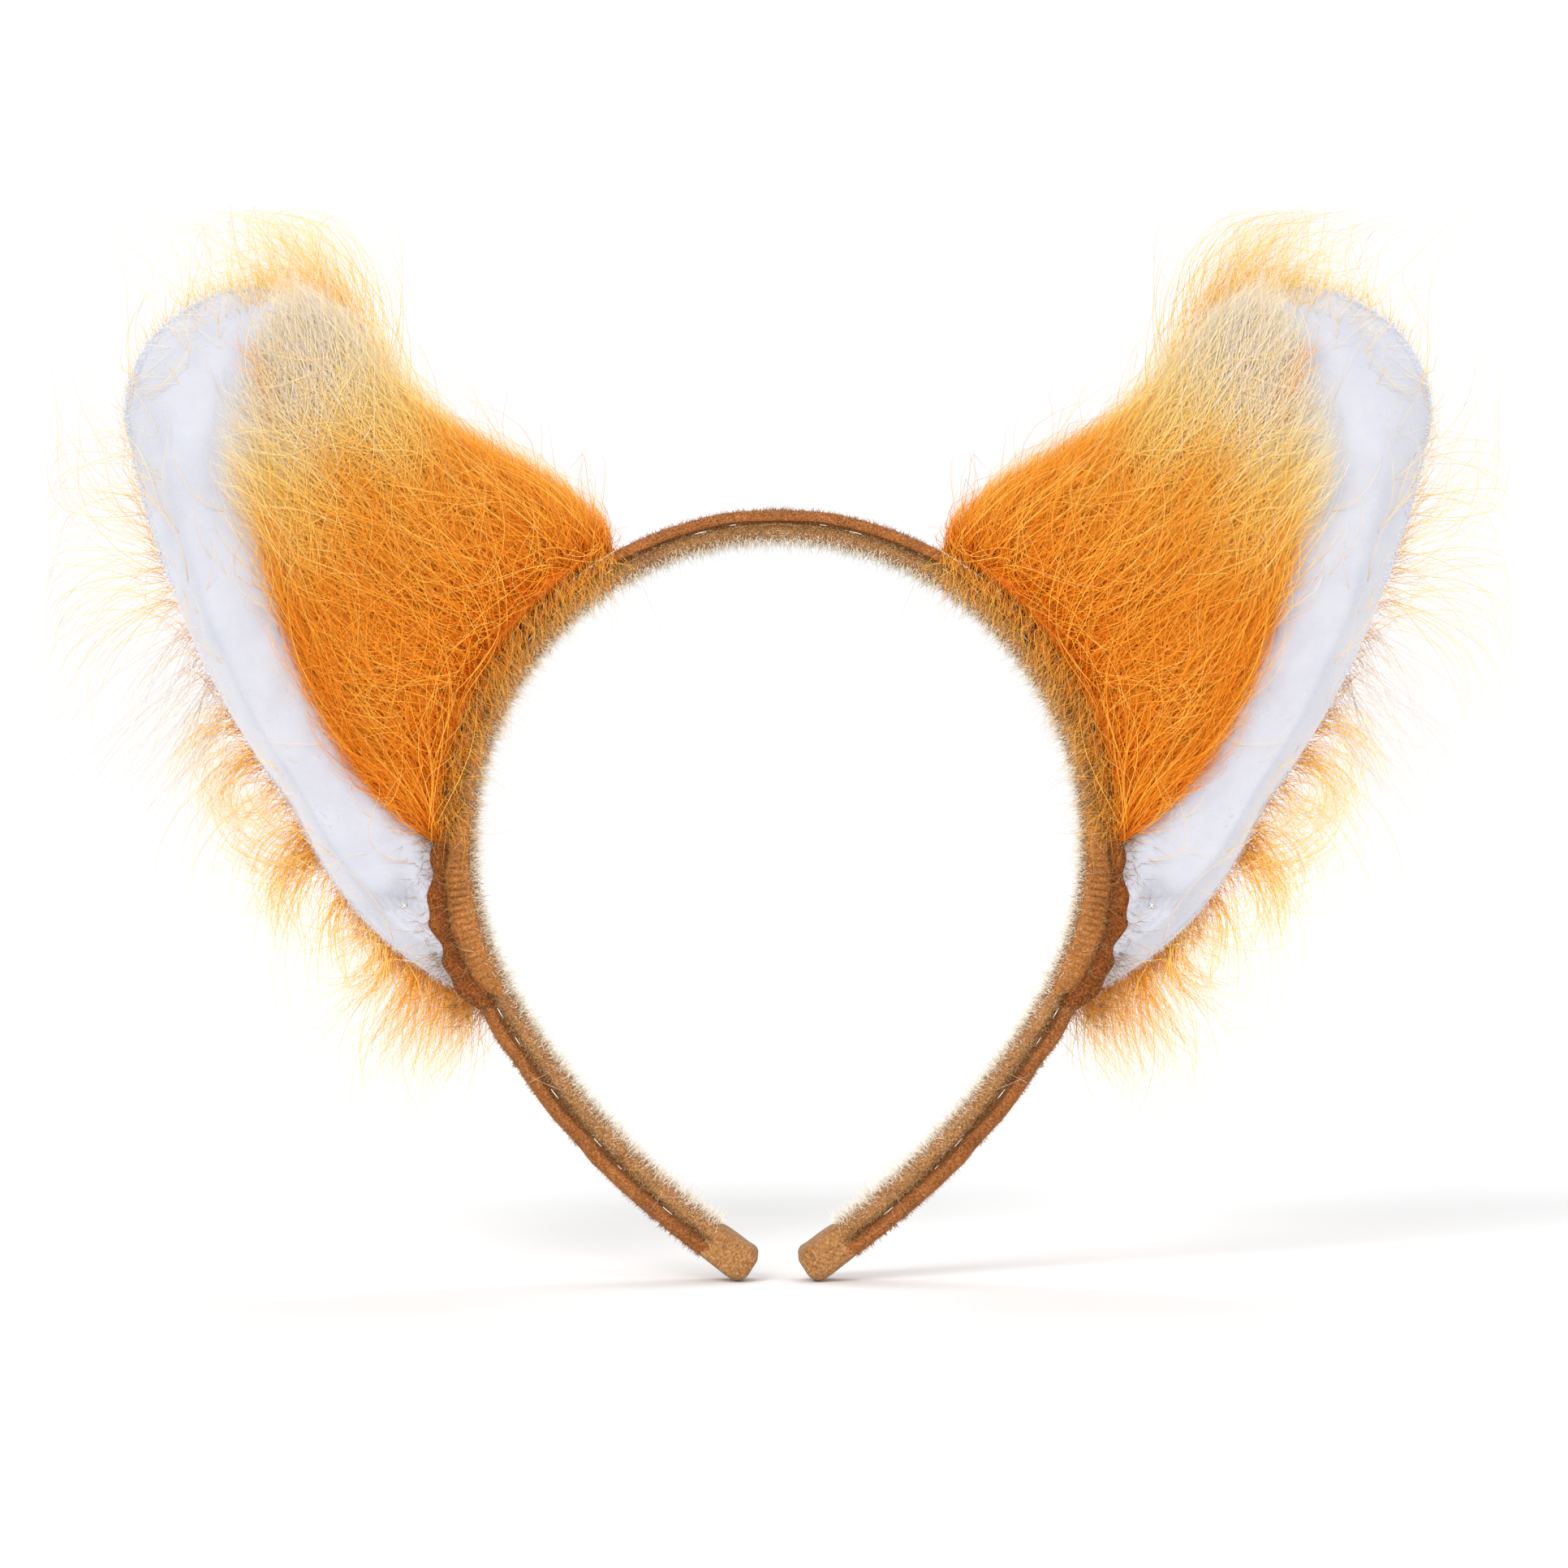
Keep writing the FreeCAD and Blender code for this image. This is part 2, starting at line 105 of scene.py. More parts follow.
def wobble(points, size, seed):
    """Smooth noise of about -1..1: a sum of sine waves about `size` long."""
    random = np.random.default_rng(seed)
    total = np.zeros(points.shape[:-1])
    waves = 9
    for _ in range(waves):
        direction = random.normal(size=points.shape[-1])
        direction *= random.uniform(0.6, 1.5) / np.linalg.norm(direction)
        phase = random.uniform(0, 6.28)
        total += np.sin(points @ direction * (2 * math.pi / size) + phase)
    return total / math.sqrt(waves)


# ---------------------------------------------------------------- meshes

def new_object(name, data):
    piece = bpy.data.objects.new(name, data)
    bpy.context.scene.collection.objects.link(piece)
    return piece


def mesh_from_arrays(name, points, loops, starts, uv=None, uv_name="UVMap"):
    """Mesh from flat arrays: loops holds vertex numbers, starts where each face begins."""
    mesh = bpy.data.meshes.new(name)
    mesh.vertices.add(len(points))
    mesh.vertices.foreach_set("co", np.ascontiguousarray(points, np.float32).ravel())
    mesh.loops.add(len(loops))
    mesh.loops.foreach_set("vertex_index", loops.astype(np.int32))
    mesh.polygons.add(len(starts))
    mesh.polygons.foreach_set("loop_start", starts.astype(np.int32))
    mesh.polygons.foreach_set("use_smooth", np.ones(len(starts), bool))
    mesh.update(calc_edges=True)
    if uv is not None:
        layer = mesh.uv_layers.new(name=uv_name)
        layer.data.foreach_set("uv", np.ascontiguousarray(uv, np.float32).ravel())
    return mesh


def read_points(piece):
    """Corner points of a piece, one row each."""
    place = np.empty(len(piece.data.vertices) * 3, np.float32)
    piece.data.vertices.foreach_get("co", place)
    return place.reshape(-1, 3)


def write_points(piece, points):
    piece.data.vertices.foreach_set("co", points.astype(np.float32).ravel())
    piece.data.update()


def outward(piece):
    """Turn every face of a closed mesh outwards."""
    form = bmesh.new()
    form.from_mesh(piece.data)
    bmesh.ops.recalc_face_normals(form, faces=form.faces)
    form.to_mesh(piece.data)
    form.free()
    return piece


def paired_caps(first, around):
    """Faces that close a flattened ring by joining opposite points."""
    half = around // 2
    faces = [[first, first + 1, first + around - 1]]
    for step in range(1, half - 1):
        faces.append([first + step, first + step + 1, first + around - step - 1, first + around - step])
    faces.append([first + half - 1, first + half, first + half + 1])
    return faces


def ring_solid(name, rings, flat=False):
    """Closed solid swept through rings[n, m, 3] of points; flat rings are cushions' cross-sections."""
    count, around = rings.shape[:2]
    along = np.arange(count - 1)[:, None]
    index = np.arange(around)[None, :]
    after = (index + 1) % around
    quads = np.stack([along * around + index, (along + 1) * around + index,
                      (along + 1) * around + after, along * around + after], -1).reshape(-1)
    last = (count - 1) * around
    if flat:
        caps = paired_caps(0, around) + [face[::-1] for face in paired_caps(last, around)]
    else:
        caps = [list(range(around)), list(range(last + around - 1, last - 1, -1))]
    sizes = np.array([4] * (len(quads) // 4) + [len(face) for face in caps])
    loops = np.concatenate([quads, np.concatenate(caps)])
    starts = np.cumsum(sizes) - sizes
    run = np.cumsum(np.linalg.norm(np.diff(rings[:, 0], axis=0, prepend=rings[:1, 0]), axis=1))
    step = np.linalg.norm(np.diff(rings[0], axis=0, append=rings[0, :1]), axis=1)
    turn = np.concatenate([[0], np.cumsum(step)])
    near, far, low, high = np.broadcast_arrays(run[along], run[along + 1], turn[index], turn[index + 1])
    u = np.stack([near, far, far, near], -1).reshape(-1)
    v = np.stack([low, low, high, high], -1).reshape(-1)
    uv = np.concatenate([np.stack([u, v], -1), np.zeros((len(loops) - len(quads), 2))])
    mesh = mesh_from_arrays(name, rings.reshape(-1, 3), loops, starts, uv)
    piece = outward(new_object(name, mesh))
    piece.data.set_sharp_from_angle(angle=math.radians(60))
    return piece


def strand_mesh(name, paths, radius, shade, sides=3, taper=1.6):
    """Closed tapering strands along paths[n, k, 3]; shade picks each strand's palette column."""
    count, steps = paths.shape[:2]
    along = np.linspace(0, 1, steps)
    tangent = np.gradient(paths, axis=1)
    tangent /= np.linalg.norm(tangent, axis=2, keepdims=True) + 1e-12
    across = np.cross(tangent, np.array([0.36, 0.48, 0.8]))
    across /= np.linalg.norm(across, axis=2, keepdims=True) + 1e-12
    other = np.cross(tangent, across)
    width = radius[:, None] * (1 - along[None, :-1] ** taper)
    angles = 2 * math.pi * np.arange(sides) / sides
    rings = (paths[:, :-1, None]
             + across[:, :-1, None] * (width[..., None] * np.cos(angles))[..., None]
             + other[:, :-1, None] * (width[..., None] * np.sin(angles))[..., None])
    per = sides * (steps - 1) + 1
    points = np.concatenate([rings.reshape(count, -1, 3), paths[:, -1:]], 1).reshape(-1, 3)
    side = np.arange(sides)
    after = (side + 1) % sides
    walls = [np.stack([level * sides + side, level * sides + after,
                       (level + 1) * sides + after, (level + 1) * sides + side], -1).reshape(-1)
             for level in range(steps - 2)]
    top = (steps - 2) * sides
    cone = np.stack([top + side, top + after, np.full(sides, per - 1)], -1).reshape(-1)
    pattern = np.concatenate(walls + [cone, side[::-1]])
    sizes = np.concatenate([np.full(sides * (steps - 2), 4), np.full(sides, 3), [sides]])
    loops = (pattern[None] + np.arange(count)[:, None] * per).reshape(-1)
    begin = np.concatenate([[0], np.cumsum(sizes)[:-1]])
    starts = (begin[None] + np.arange(count)[:, None] * len(pattern)).reshape(-1)
    column = np.concatenate([np.tile(np.arange(sides) / sides, steps - 1), [0.5]])
    level = np.concatenate([np.repeat(along[:-1], sides), [1.0]])
    u = shade[:, None] * 0.96 + 0.02 * column[pattern][None] + 0.01
    v = np.broadcast_to(0.02 + 0.96 * level[pattern][None], u.shape)
    uv = np.stack([u, v], -1).reshape(-1, 2)
    mesh = mesh_from_arrays(name, points, loops, starts, uv, "OFBake")
    return new_object(name, mesh)


# ---------------------------------------------------------------- material nodes

COLOUR_A, COLOUR_B, COLOUR_RESULT = 6, 7, 2    # colour sockets of a Mix node, which share their names


class Nodes:
    """Short way to build a material's node tree."""

    def __init__(self, name):
        self.material = bpy.data.materials.new(name)
        self.material.use_nodes = True
        self.tree = self.material.node_tree
        self.shader = self.tree.nodes["Principled BSDF"]

    def add(self, kind, **settings):
        """New node; each setting is an input's value or else a property."""
        node = self.tree.nodes.new(kind)
        for key, setting in settings.items():
            if key in node.inputs:
                node.inputs[key].default_value = setting
            else:
                setattr(node, key, setting)
        return node

    def link(self, source, target):
        self.tree.links.new(source, target)

    def noise(self, where, size, detail=3.0, rough=0.6):
        node = self.add("ShaderNodeTexNoise", Scale=1 / size, Detail=detail, Roughness=rough)
        self.link(where, node.inputs["Vector"])
        return node.outputs["Fac"]

    def ramp(self, factor, *stops):
        """Colour ramp through stops of (place, colour)."""
        node = self.add("ShaderNodeValToRGB")
        node.color_ramp.elements[0].position = stops[0][0]
        node.color_ramp.elements[0].color = (*stops[0][1], 1)
        node.color_ramp.elements[1].position = stops[-1][0]
        node.color_ramp.elements[1].color = (*stops[-1][1], 1)
        for place, colour in stops[1:-1]:
            node.color_ramp.elements.new(place).color = (*colour, 1)
        self.link(factor, node.inputs["Fac"])
        return node.outputs["Color"]

    def mix(self, factor, first, second, blend="MIX"):
        """Mix of two colours by a number or a socket."""
        node = self.add("ShaderNodeMix", data_type="RGBA", blend_type=blend)
        if isinstance(factor, float):
            node.inputs["Factor"].default_value = factor
        else:
            self.link(factor, node.inputs["Factor"])
        self.link(first, node.inputs[COLOUR_A])
        self.link(second, node.inputs[COLOUR_B])
        return node.outputs[COLOUR_RESULT]

    def math(self, operation, first, second=0.0):
        """Result of a sum or the like on two numbers or sockets."""
        node = self.add("ShaderNodeMath", operation=operation)
        for socket, term in zip(node.inputs, (first, second)):
            if isinstance(term, (int, float)):
                socket.default_value = term
            else:
                self.link(term, socket)
        return node.outputs[0]

    def finish(self, colour, rough=0.9, height=None, bump=0.0002, sheen=0.0, tint=(1, 1, 1),
               specular=0.3):
        """Set the shader from colour, roughness, an optional bump and sheen."""
        self.link(colour, self.shader.inputs["Base Color"])
        self.shader.inputs["Roughness"].default_value = rough
        self.shader.inputs["Specular IOR Level"].default_value = specular
        self.shader.inputs["Sheen Weight"].default_value = sheen
        self.shader.inputs["Sheen Roughness"].default_value = 0.45
        self.shader.inputs["Sheen Tint"].default_value = (*tint, 1)
        if height is not None:
            node = self.add("ShaderNodeBump", Distance=bump, Strength=0.9)
            self.link(height, node.inputs["Height"])
            self.link(node.outputs["Normal"], self.shader.inputs["Normal"])
        return self.material

    def cloth_place(self):
        """Metres along and around the piece."""
        return self.add("ShaderNodeUVMap", uv_map="UVMap").outputs["UV"]

    def space_place(self):
        return self.add("ShaderNodeTexCoord").outputs["Object"]


def pile_cloth(name, dark, middle, light, sheen=0.2):
    """Short-piled cloth: fine specks, soft patches and a light sheen."""
    n = Nodes(name)
    place = n.space_place()
    speck = n.noise(place, 0.45 * MM, 4.0, 0.7)
    patch = n.noise(place, 6 * MM, 2.0)
    fine = n.ramp(speck, (0.3, dark), (0.5, middle), (0.72, light))
    broad = n.ramp(patch, (0.3, (0.74, 0.72, 0.70)), (0.7, (1.0, 1.0, 1.0)))
    return n.finish(n.mix(1.0, fine, broad, "MULTIPLY"), 0.95, speck, 0.25 * MM, sheen,
                    (1.0, 0.65, 0.4), 0.15)


def plain(name, grain, detail, mottle, dark, light, rough, bump, specular=0.3):
    """One material of two close tones in a fine grain that also roughens the surface."""
    n = Nodes(name)
    speck = n.noise(n.space_place(), grain * MM, detail, mottle)
    return n.finish(n.ramp(speck, (0.3, dark), (0.7, light)), rough, speck, bump * MM, specular=specular)


def plush_knit():
    """Tan heathered knit: dark and pale flecks over faint ribs across the band."""
    n = Nodes("plush_knit")
    place = n.space_place()
    fleck = n.noise(place, 0.5 * MM, 5.0, 0.75)
    patch = n.noise(place, 5 * MM, 2.0)
    colour = n.ramp(fleck, (0.32, (0.10, 0.04, 0.011)), (0.45, (0.33, 0.145, 0.043)),
                    (0.58, (0.48, 0.24, 0.088)), (0.75, (0.76, 0.54, 0.31)))
    broad = n.ramp(patch, (0.35, (0.80, 0.74, 0.68)), (0.7, (1.0, 0.98, 0.95)))
    rib_pitch = 6.2832 * 0.35 * MM
    rib = n.add("ShaderNodeTexWave", Scale=1 / rib_pitch, Distortion=1.5)
    n.link(n.cloth_place(), rib.inputs["Vector"])
    height = n.math("ADD", fleck, n.math("MULTIPLY", rib.outputs["Fac"], 0.35))
    return n.finish(n.mix(1.0, colour, broad, "MULTIPLY"), 0.95, height, 0.35 * MM, 0.25,
                    (1.0, 0.85, 0.65))


def fleece():
    """White brushed fleece: fine pile, faint bluish hollows of painted shade, and painted light that makes
    it lighter where it turns aside from the front.
    """
    n = Nodes("fleece")
    place = n.space_place()
    pile = n.noise(place, 0.6 * MM, 4.0, 0.65)
    hollow_shade_noise = n.noise(place, 7 * MM, 2.0)
    # painted shade: faint bluish darker patches in a random mottle, as in hollows
    colour = n.ramp(hollow_shade_noise, (0.3, (0.44, 0.45, 0.505)), (0.7, (0.48, 0.485, 0.53)))
    # painted light: the colour is raised by up to half again where the surface turns aside from the front,
    # over the shade on the rolled edges
    facing = n.add("ShaderNodeSeparateXYZ")
    n.link(n.add("ShaderNodeNewGeometry").outputs["Normal"], facing.inputs[0])
    frontal = n.math("ABSOLUTE", facing.outputs["Y"])
    half_of_painted_lift = n.ramp(frontal, (0.15, (0.78, 0.78, 0.79)), (0.8, (0.5, 0.5, 0.5)))
    painted_edge_light = n.mix(1.0, half_of_painted_lift, half_of_painted_lift, "ADD")    # a ramp stops at 1, so it holds half
    colour = n.mix(1.0, colour, painted_edge_light, "MULTIPLY")
    return n.finish(colour, 0.95, pile, 0.12 * MM, 0.5, (0.97, 0.98, 1.0))


def palette(name, roots, tips, rough):
    """Hair colour from the palette UV: shade across, root to tip upwards. The darker roots and lighter tips
    are partly the hairs' own colour, partly painted shade deep in the pile and painted light shining through
    the tips.
    """
    n = Nodes(name)
    parts = n.add("ShaderNodeSeparateXYZ")
    n.link(n.add("ShaderNodeUVMap", uv_map="OFBake").outputs["UV"], parts.inputs[0])
    low = n.ramp(parts.outputs["X"], *roots)
    high = n.ramp(parts.outputs["X"], *tips)
    # painted light and shade, in part: each hair darkens towards its root and lightens towards its tip
    rise = n.math("POWER", parts.outputs["Y"], 0.9)
    return n.finish(n.mix(rise, low, high), rough, specular=0.1)


def fur_backing():
    """Woven backing seen only between the hairs: orange, paler near the tip."""
    n = Nodes("fur_backing")
    place = n.space_place()
    weave = n.noise(place, 0.6 * MM, 3.0)
    height = n.add("ShaderNodeSeparateXYZ")
    n.link(place, height.inputs[0])
    rise = n.add("ShaderNodeMapRange")
    rise.inputs["From Min"].default_value = 60 * MM
    rise.inputs["From Max"].default_value = 100 * MM
    n.link(height.outputs["Z"], rise.inputs["Value"])
    orange = n.ramp(weave, (0.3, (0.62, 0.14, 0.006)), (0.7, (0.80, 0.24, 0.015)))
    pale = n.ramp(weave, (0.3, (0.86, 0.66, 0.46)), (0.7, (0.90, 0.80, 0.72)))
    return n.finish(n.mix(rise.outputs["Result"], orange, pale), 0.95, weave, 0.2 * MM)


MATERIALS = {make.__name__: make() for make in (plush_knit, fleece, fur_backing)}
for cloth in (    # dark, middle and light tone, then sheen
        ("velvet", (0.12, 0.034, 0.008), (0.32, 0.108, 0.026), (0.56, 0.26, 0.10)),
        ("hem_velvet", (0.05, 0.013, 0.003), (0.21, 0.055, 0.010), (0.46, 0.16, 0.035), 0.06),
        # painted shade: the dark cloth of the strip at the bottom of the groove between cover and lining
        ("seam_tape_cloth", (0.07, 0.024, 0.007), (0.16, 0.065, 0.02), (0.30, 0.14, 0.05)),
        ("rib_knit", (0.20, 0.062, 0.014), (0.40, 0.15, 0.036), (0.62, 0.30, 0.10))):
    MATERIALS[cloth[0]] = pile_cloth(*cloth)
for stuff in (    # grain, detail and mottle, dark and light tone, roughness, bump, specular
        ("felt", 0.8, 5.0, 0.7, (0.40, 0.27, 0.16), (0.62, 0.47, 0.32), 0.95, 0.2),
        ("wadding", 2.5, 6.0, 0.75, (0.72, 0.72, 0.70), (0.90, 0.90, 0.88), 0.95, 0.8),
        ("hoop_plastic", 0.3, 2.0, 0.6, (0.10, 0.055, 0.03), (0.15, 0.085, 0.05), 0.45, 0.03, 0.5),
        ("thread", 0.35, 2.0, 0.6, (0.66, 0.62, 0.56), (0.92, 0.90, 0.86), 0.6, 0.06, 0.4)):
    MATERIALS[stuff[0]] = plain(*stuff)
# root colours partly hold painted shade deep in the pile, tip colours partly painted light shining through
# the hairs
for hair in (    # stops of (shade, colour) at the roots and at the tips, roughness
        ("fox_fur",    # deep orange through yellow and peach to white
         ((0.0, (0.78, 0.13, 0.002)), (0.3, (1.0, 0.28, 0.006)), (0.5, (1.0, 0.52, 0.04)),
          (0.7, (1.0, 0.66, 0.20)), (0.88, (1.0, 0.80, 0.62)), (1.0, (0.62, 0.56, 0.53))),
         ((0.0, (1.0, 0.33, 0.01)), (0.3, (1.0, 0.51, 0.06)), (0.5, (1.0, 0.70, 0.18)),
          (0.7, (1.0, 0.86, 0.46)), (0.88, (1.0, 0.94, 0.85)), (1.0, (0.76, 0.71, 0.69))), 0.6),
        ("band_fuzz",    # rust, tan and cream
         ((0.0, (0.20, 0.06, 0.014)), (0.35, (0.24, 0.11, 0.036)), (0.7, (0.50, 0.30, 0.13)),
          (1.0, (1.0, 0.90, 0.72))),
         ((0.0, (0.52, 0.21, 0.065)), (0.35, (0.52, 0.28, 0.10)), (0.7, (0.84, 0.62, 0.35)),
          (1.0, (1.0, 0.97, 0.88))), 0.8),
        ("fleece_fuzz", ((0.0, (0.78, 0.78, 0.83)), (1.0, (0.84, 0.84, 0.87))),
         ((0.0, (0.90, 0.90, 0.93)), (1.0, (0.96, 0.96, 0.97))), 0.8)):
    MATERIALS[hair[0]] = palette(*hair)


def settle(piece, material, slot, follow, label, side, *nodes):
    """Give a piece its material and its motion, in place of the named CAD nodes."""
    piece.data.materials.append(MATERIALS[material])
    follow(piece, label, side)
    if nodes:
        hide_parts(*nodes)


# ---------------------------------------------------------------- band

def band_point(side, run, out, depth):
    """Points of the band: run from the crown along the lining, out from it, depth along Y."""
    run, out, depth = np.broadcast_arrays(run, out, depth)
    slack = smooth((run - 0.75 * ROUND_LENGTH) / (0.3 * ROUND_LENGTH))
    out = out * (1 + ARM_SLACK / BAND_THICK * slack)
    on_arm = run > ROUND_LENGTH
    angle = np.where(on_arm, WRAP_ANGLE + (run - ROUND_LENGTH) / ARM_RADIUS, run / OPENING)
    radius = np.where(on_arm, ARM_RADIUS, OPENING) + out
    shift = np.where(on_arm, ARM_RADIUS - OPENING, 0)
    x = radius * np.sin(angle) - shift * math.sin(WRAP_ANGLE)
    z = radius * np.cos(angle) - shift * math.cos(WRAP_ANGLE)
    return np.stack([side * x, depth, z], -1)


def sheet_contour(line, thick):
    """Closed outline of a folded sheet with rounded ends, round its middle line."""
    tangent = np.gradient(line, axis=0)
    tangent /= np.linalg.norm(tangent, axis=1, keepdims=True)
    normal = np.stack([-tangent[:, 1], tangent[:, 0]], -1)
    place = np.linspace(-1, 1, len(line))
    half = 0.5 * thick * np.sqrt(np.clip(1 - place ** 10, 0.01, 1))[:, None]
    return np.concatenate([line + normal * half, (line - normal * half)[::-1]])


def channel_line(rim, face, half, corner):
    """Middle line of a U channel, as (out, depth): rims at the front and back edges."""
    toward = math.copysign(1, face - rim)
    angles = np.linspace(0, math.pi / 2, 6)
    bend = np.stack([face - toward * corner * (1 - np.sin(angles)),
                     -half + corner * (1 - np.cos(angles))], -1)
    wall = np.stack([np.linspace(rim, face - toward * corner, 4)[:-1], np.full(3, -half)], -1)
    front = np.concatenate([wall, bend])
    middle = np.stack([np.full(7, face), np.linspace(-half + corner, half - corner, 9)[1:-1]], -1)
    back = front[::-1] * [1, -1]
    return np.concatenate([front, middle, back])


def sweep_band(name, side, contour, last, ripple, seed):
    """Sweep a contour of (out, depth) from the crown along the band, rippled like soft cloth."""
    spacing = 1.5 * MM
    run = np.linspace(0, last, int(last / spacing) + 2)[:, None]
    out = contour[None, :, 0]
    depth = contour[None, :, 1]
    middle = band_point(1, run, out, depth)
    out = out + ripple * wobble(middle, 14 * MM, seed) + 0.4 * ripple * wobble(middle, 5 * MM, seed + 1)
    depth = depth + 0.6 * ripple * wobble(middle, 17 * MM, seed + 2)
    return ring_solid(name, band_point(side, run, out, depth))


def joint_named(name):
    return next(joint for joint in frame["joints"] if joint["name"] == name)


def ride_arm(piece, label, _side):
    """Move with the arm as one stiff piece."""
    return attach(piece, f"{label}_arm")


def bend_with_band(piece, label, side):
    """Keep the piece where it was built, its placement baked into its points."""
    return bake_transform(piece)


SEAM = 0.54 * BAND_THICK    # height of the groove between lining and cover
COVER_SHEET = 1.5 * MM
LINING_SHEET = 1.9 * MM
HOOP_THICK = 2.2 * MM
HOOP_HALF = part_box("hoop_crown")[1].y
FABRIC_END = BAND_LENGTH - TIP_LENGTH + 2 * MM    # cover and lining end inside the tip fold
FACE = BAND_HALF + 0.05 * MM    # just proud of the band's front edge


def cover_line():
    face = BAND_THICK - COVER_SHEET / 2 - 0.1 * MM
    return channel_line(SEAM + 0.5 * MM, face, BAND_HALF - 0.55 * MM, 1.3 * MM)


def lining_line():
    face = LINING_SHEET / 2 + 0.25 * MM
    return channel_line(SEAM - 0.35 * MM, face, BAND_HALF - 0.75 * MM, 1.4 * MM)


def hoop_contour():
    middle = np.stack([np.full(9, BAND_THICK / 2 + 0.35 * MM), np.linspace(-HOOP_HALF, HOOP_HALF, 9)], -1)
    return sheet_contour(middle, HOOP_THICK)


def two_faced(front, back):
    """Rings of a thin sheet from its front and back rows of points."""
    return np.concatenate([front, back[:, ::-1]], 1)


def squared(wave, power):
    """A sine or cosine that stays longer near its ends, so that a round outline turns squarish."""
    return np.sign(wave) * np.abs(wave) ** power


def make_band(label, side):
    """Hoop, cover and lining of one half of the band."""
    for layer, contour, end, ripple, seed, material, slot in (
            ("cover", sheet_contour(cover_line(), COVER_SHEET), FABRIC_END, 0.16 * MM, 11,
             "velvet", "velvet_cover"),
            ("lining", sheet_contour(lining_line(), LINING_SHEET), FABRIC_END, 0.14 * MM, 21,
             "plush_knit", "plush_lining"),
            ("hoop", hoop_contour(), BAND_LENGTH - 2 * MM, 0, 1, "hoop_plastic", "hoop_plastic")):
        piece = sweep_band(f"{layer}_{label}", side, contour, end, ripple, seed)
        settle(piece, material, slot, bend_with_band, label, side, f"{layer}_crown", f"{layer}_{label}_arm")


def groove_shade_strip(label, side):
    """Smooth dark strip at the bottom of the groove between lining and cover, front and back; its dark cloth
    is painted shade in the groove.
    """
    turn = np.linspace(0, 2 * math.pi, 12, endpoint=False)
    for place, face in (("front", -1), ("back", 1)):
        contour = np.stack([SEAM + 0.1 * MM + 0.95 * MM * np.cos(turn),
                            face * (BAND_HALF - 0.75 * MM + 0.45 * MM * np.sin(turn))], -1)
        groove_shade_piece = sweep_band(f"groove_shade_strip_{place}_{label}", side, contour, FABRIC_END, 0.05 * MM, 26)
        settle(groove_shade_piece, "seam_tape_cloth", "plush_lining", bend_with_band, label, side)


def rib_cuff(label, side):
    """Ribbed knit turned over the front of the band beside the lip."""
    run = np.arange(math.radians(84), math.radians(119), 0.17 * MM / OPENING) * OPENING
    share = (run - run[0]) / (run[-1] - run[0])
    pitch = 1.35 * MM
    rib = np.abs(np.sin(math.pi * run / pitch)) ** 0.55
    across = np.linspace(0, 1, 11)[None]
    swell = np.sin(math.pi * share)[:, None] ** 0.4
    out = 1.2 * MM + across * 5.2 * MM * swell
    bow = np.sin(math.pi * across) ** 0.7
    depth = -FACE - bow * (0.15 + 0.75 * rib[:, None]) * MM * swell
    front = band_point(side, run[:, None], out, depth)
    back = band_point(side, run[:, None], out, depth + 0.3 * MM)
    piece = ring_solid(f"rib_cuff_{label}", two_faced(front, back))
    settle(piece, "rib_knit", "plush_lining", ride_arm, label, side)


def tip_fold(label, side):
    """Lining cloth folded over the end of the arm, with rounded corners."""
    angle = np.linspace(0, 2 * math.pi, 40, endpoint=False)
    squareness = 0.32
    out = BAND_THICK / 2 * (1 + squared(np.cos(angle), squareness))
    depth = BAND_HALF * 1.03 * squared(np.sin(angle), squareness)
    run = np.linspace(BAND_LENGTH - TIP_LENGTH, BAND_LENGTH + 0.8 * MM, 24)
    corner = 2.2 * MM
    close = np.sqrt(np.clip(1 - ((run - run[-1] + corner) / corner).clip(0, 0.98) ** 2, 0, 1))
    close = (0.45 + 0.55 * close)[:, None]
    start = 1 - 0.05 * (1 - smooth((run - run[0]) / (2 * MM)))[:, None]
    middle = BAND_THICK / 2
    out = middle + (out[None] - middle) * close * start
    depth = depth[None] * (0.75 + 0.25 * close) * start
    grid = band_point(1, run[:, None], out, depth)
    out = out + 0.12 * MM * wobble(grid, 6 * MM, 31)
    piece = ring_solid(f"soft_tip_fold_{label}", band_point(side, run[:, None], out, depth))
    settle(piece, "plush_knit", "plush_lining", ride_arm, label, side, f"tip_fold_{label}")


def cover_lip(label, side):
    """Wavy flare of the cover's front hem over the foot of the ear."""
    run = np.linspace(math.radians(85), math.radians(119), 90) * OPENING
    share = (run - run[0]) / (run[-1] - run[0])
    swell = np.sin(math.pi * share) ** 0.8
    flare = swell * (4.2 + 0.7 * np.sin(share * 15 + 0.6) + 0.45 * np.sin(share * 37)) * MM
    across = np.linspace(0, 1, 12)
    root = SEAM + 3.0 * MM * swell[:, None]
    out = root + (BAND_THICK - 0.1 * MM + flare[:, None] - root) * across[None]
    bow = np.sin(math.pi * across)[None] * (0.6 + 1.5 * swell[:, None])
    folds = (0.35 * np.sin(share * 17) + 0.3 * np.sin(share * 33 + 1)) * swell
    depth = -FACE - bow * MM - folds[:, None] * MM
    half = 0.55 * MM * np.sqrt(np.clip(1 - (2 * across - 1) ** 8, 0.02, 1))[None]
    front = band_point(side, run[:, None], out, depth - half)
    back = band_point(side, run[:, None], out, depth + half)
    piece = ring_solid(f"soft_cover_lip_{label}", two_faced(front, back))
    settle(piece, "hem_velvet", "velvet_cover", ride_arm, label, side, f"cover_lip_{label}")


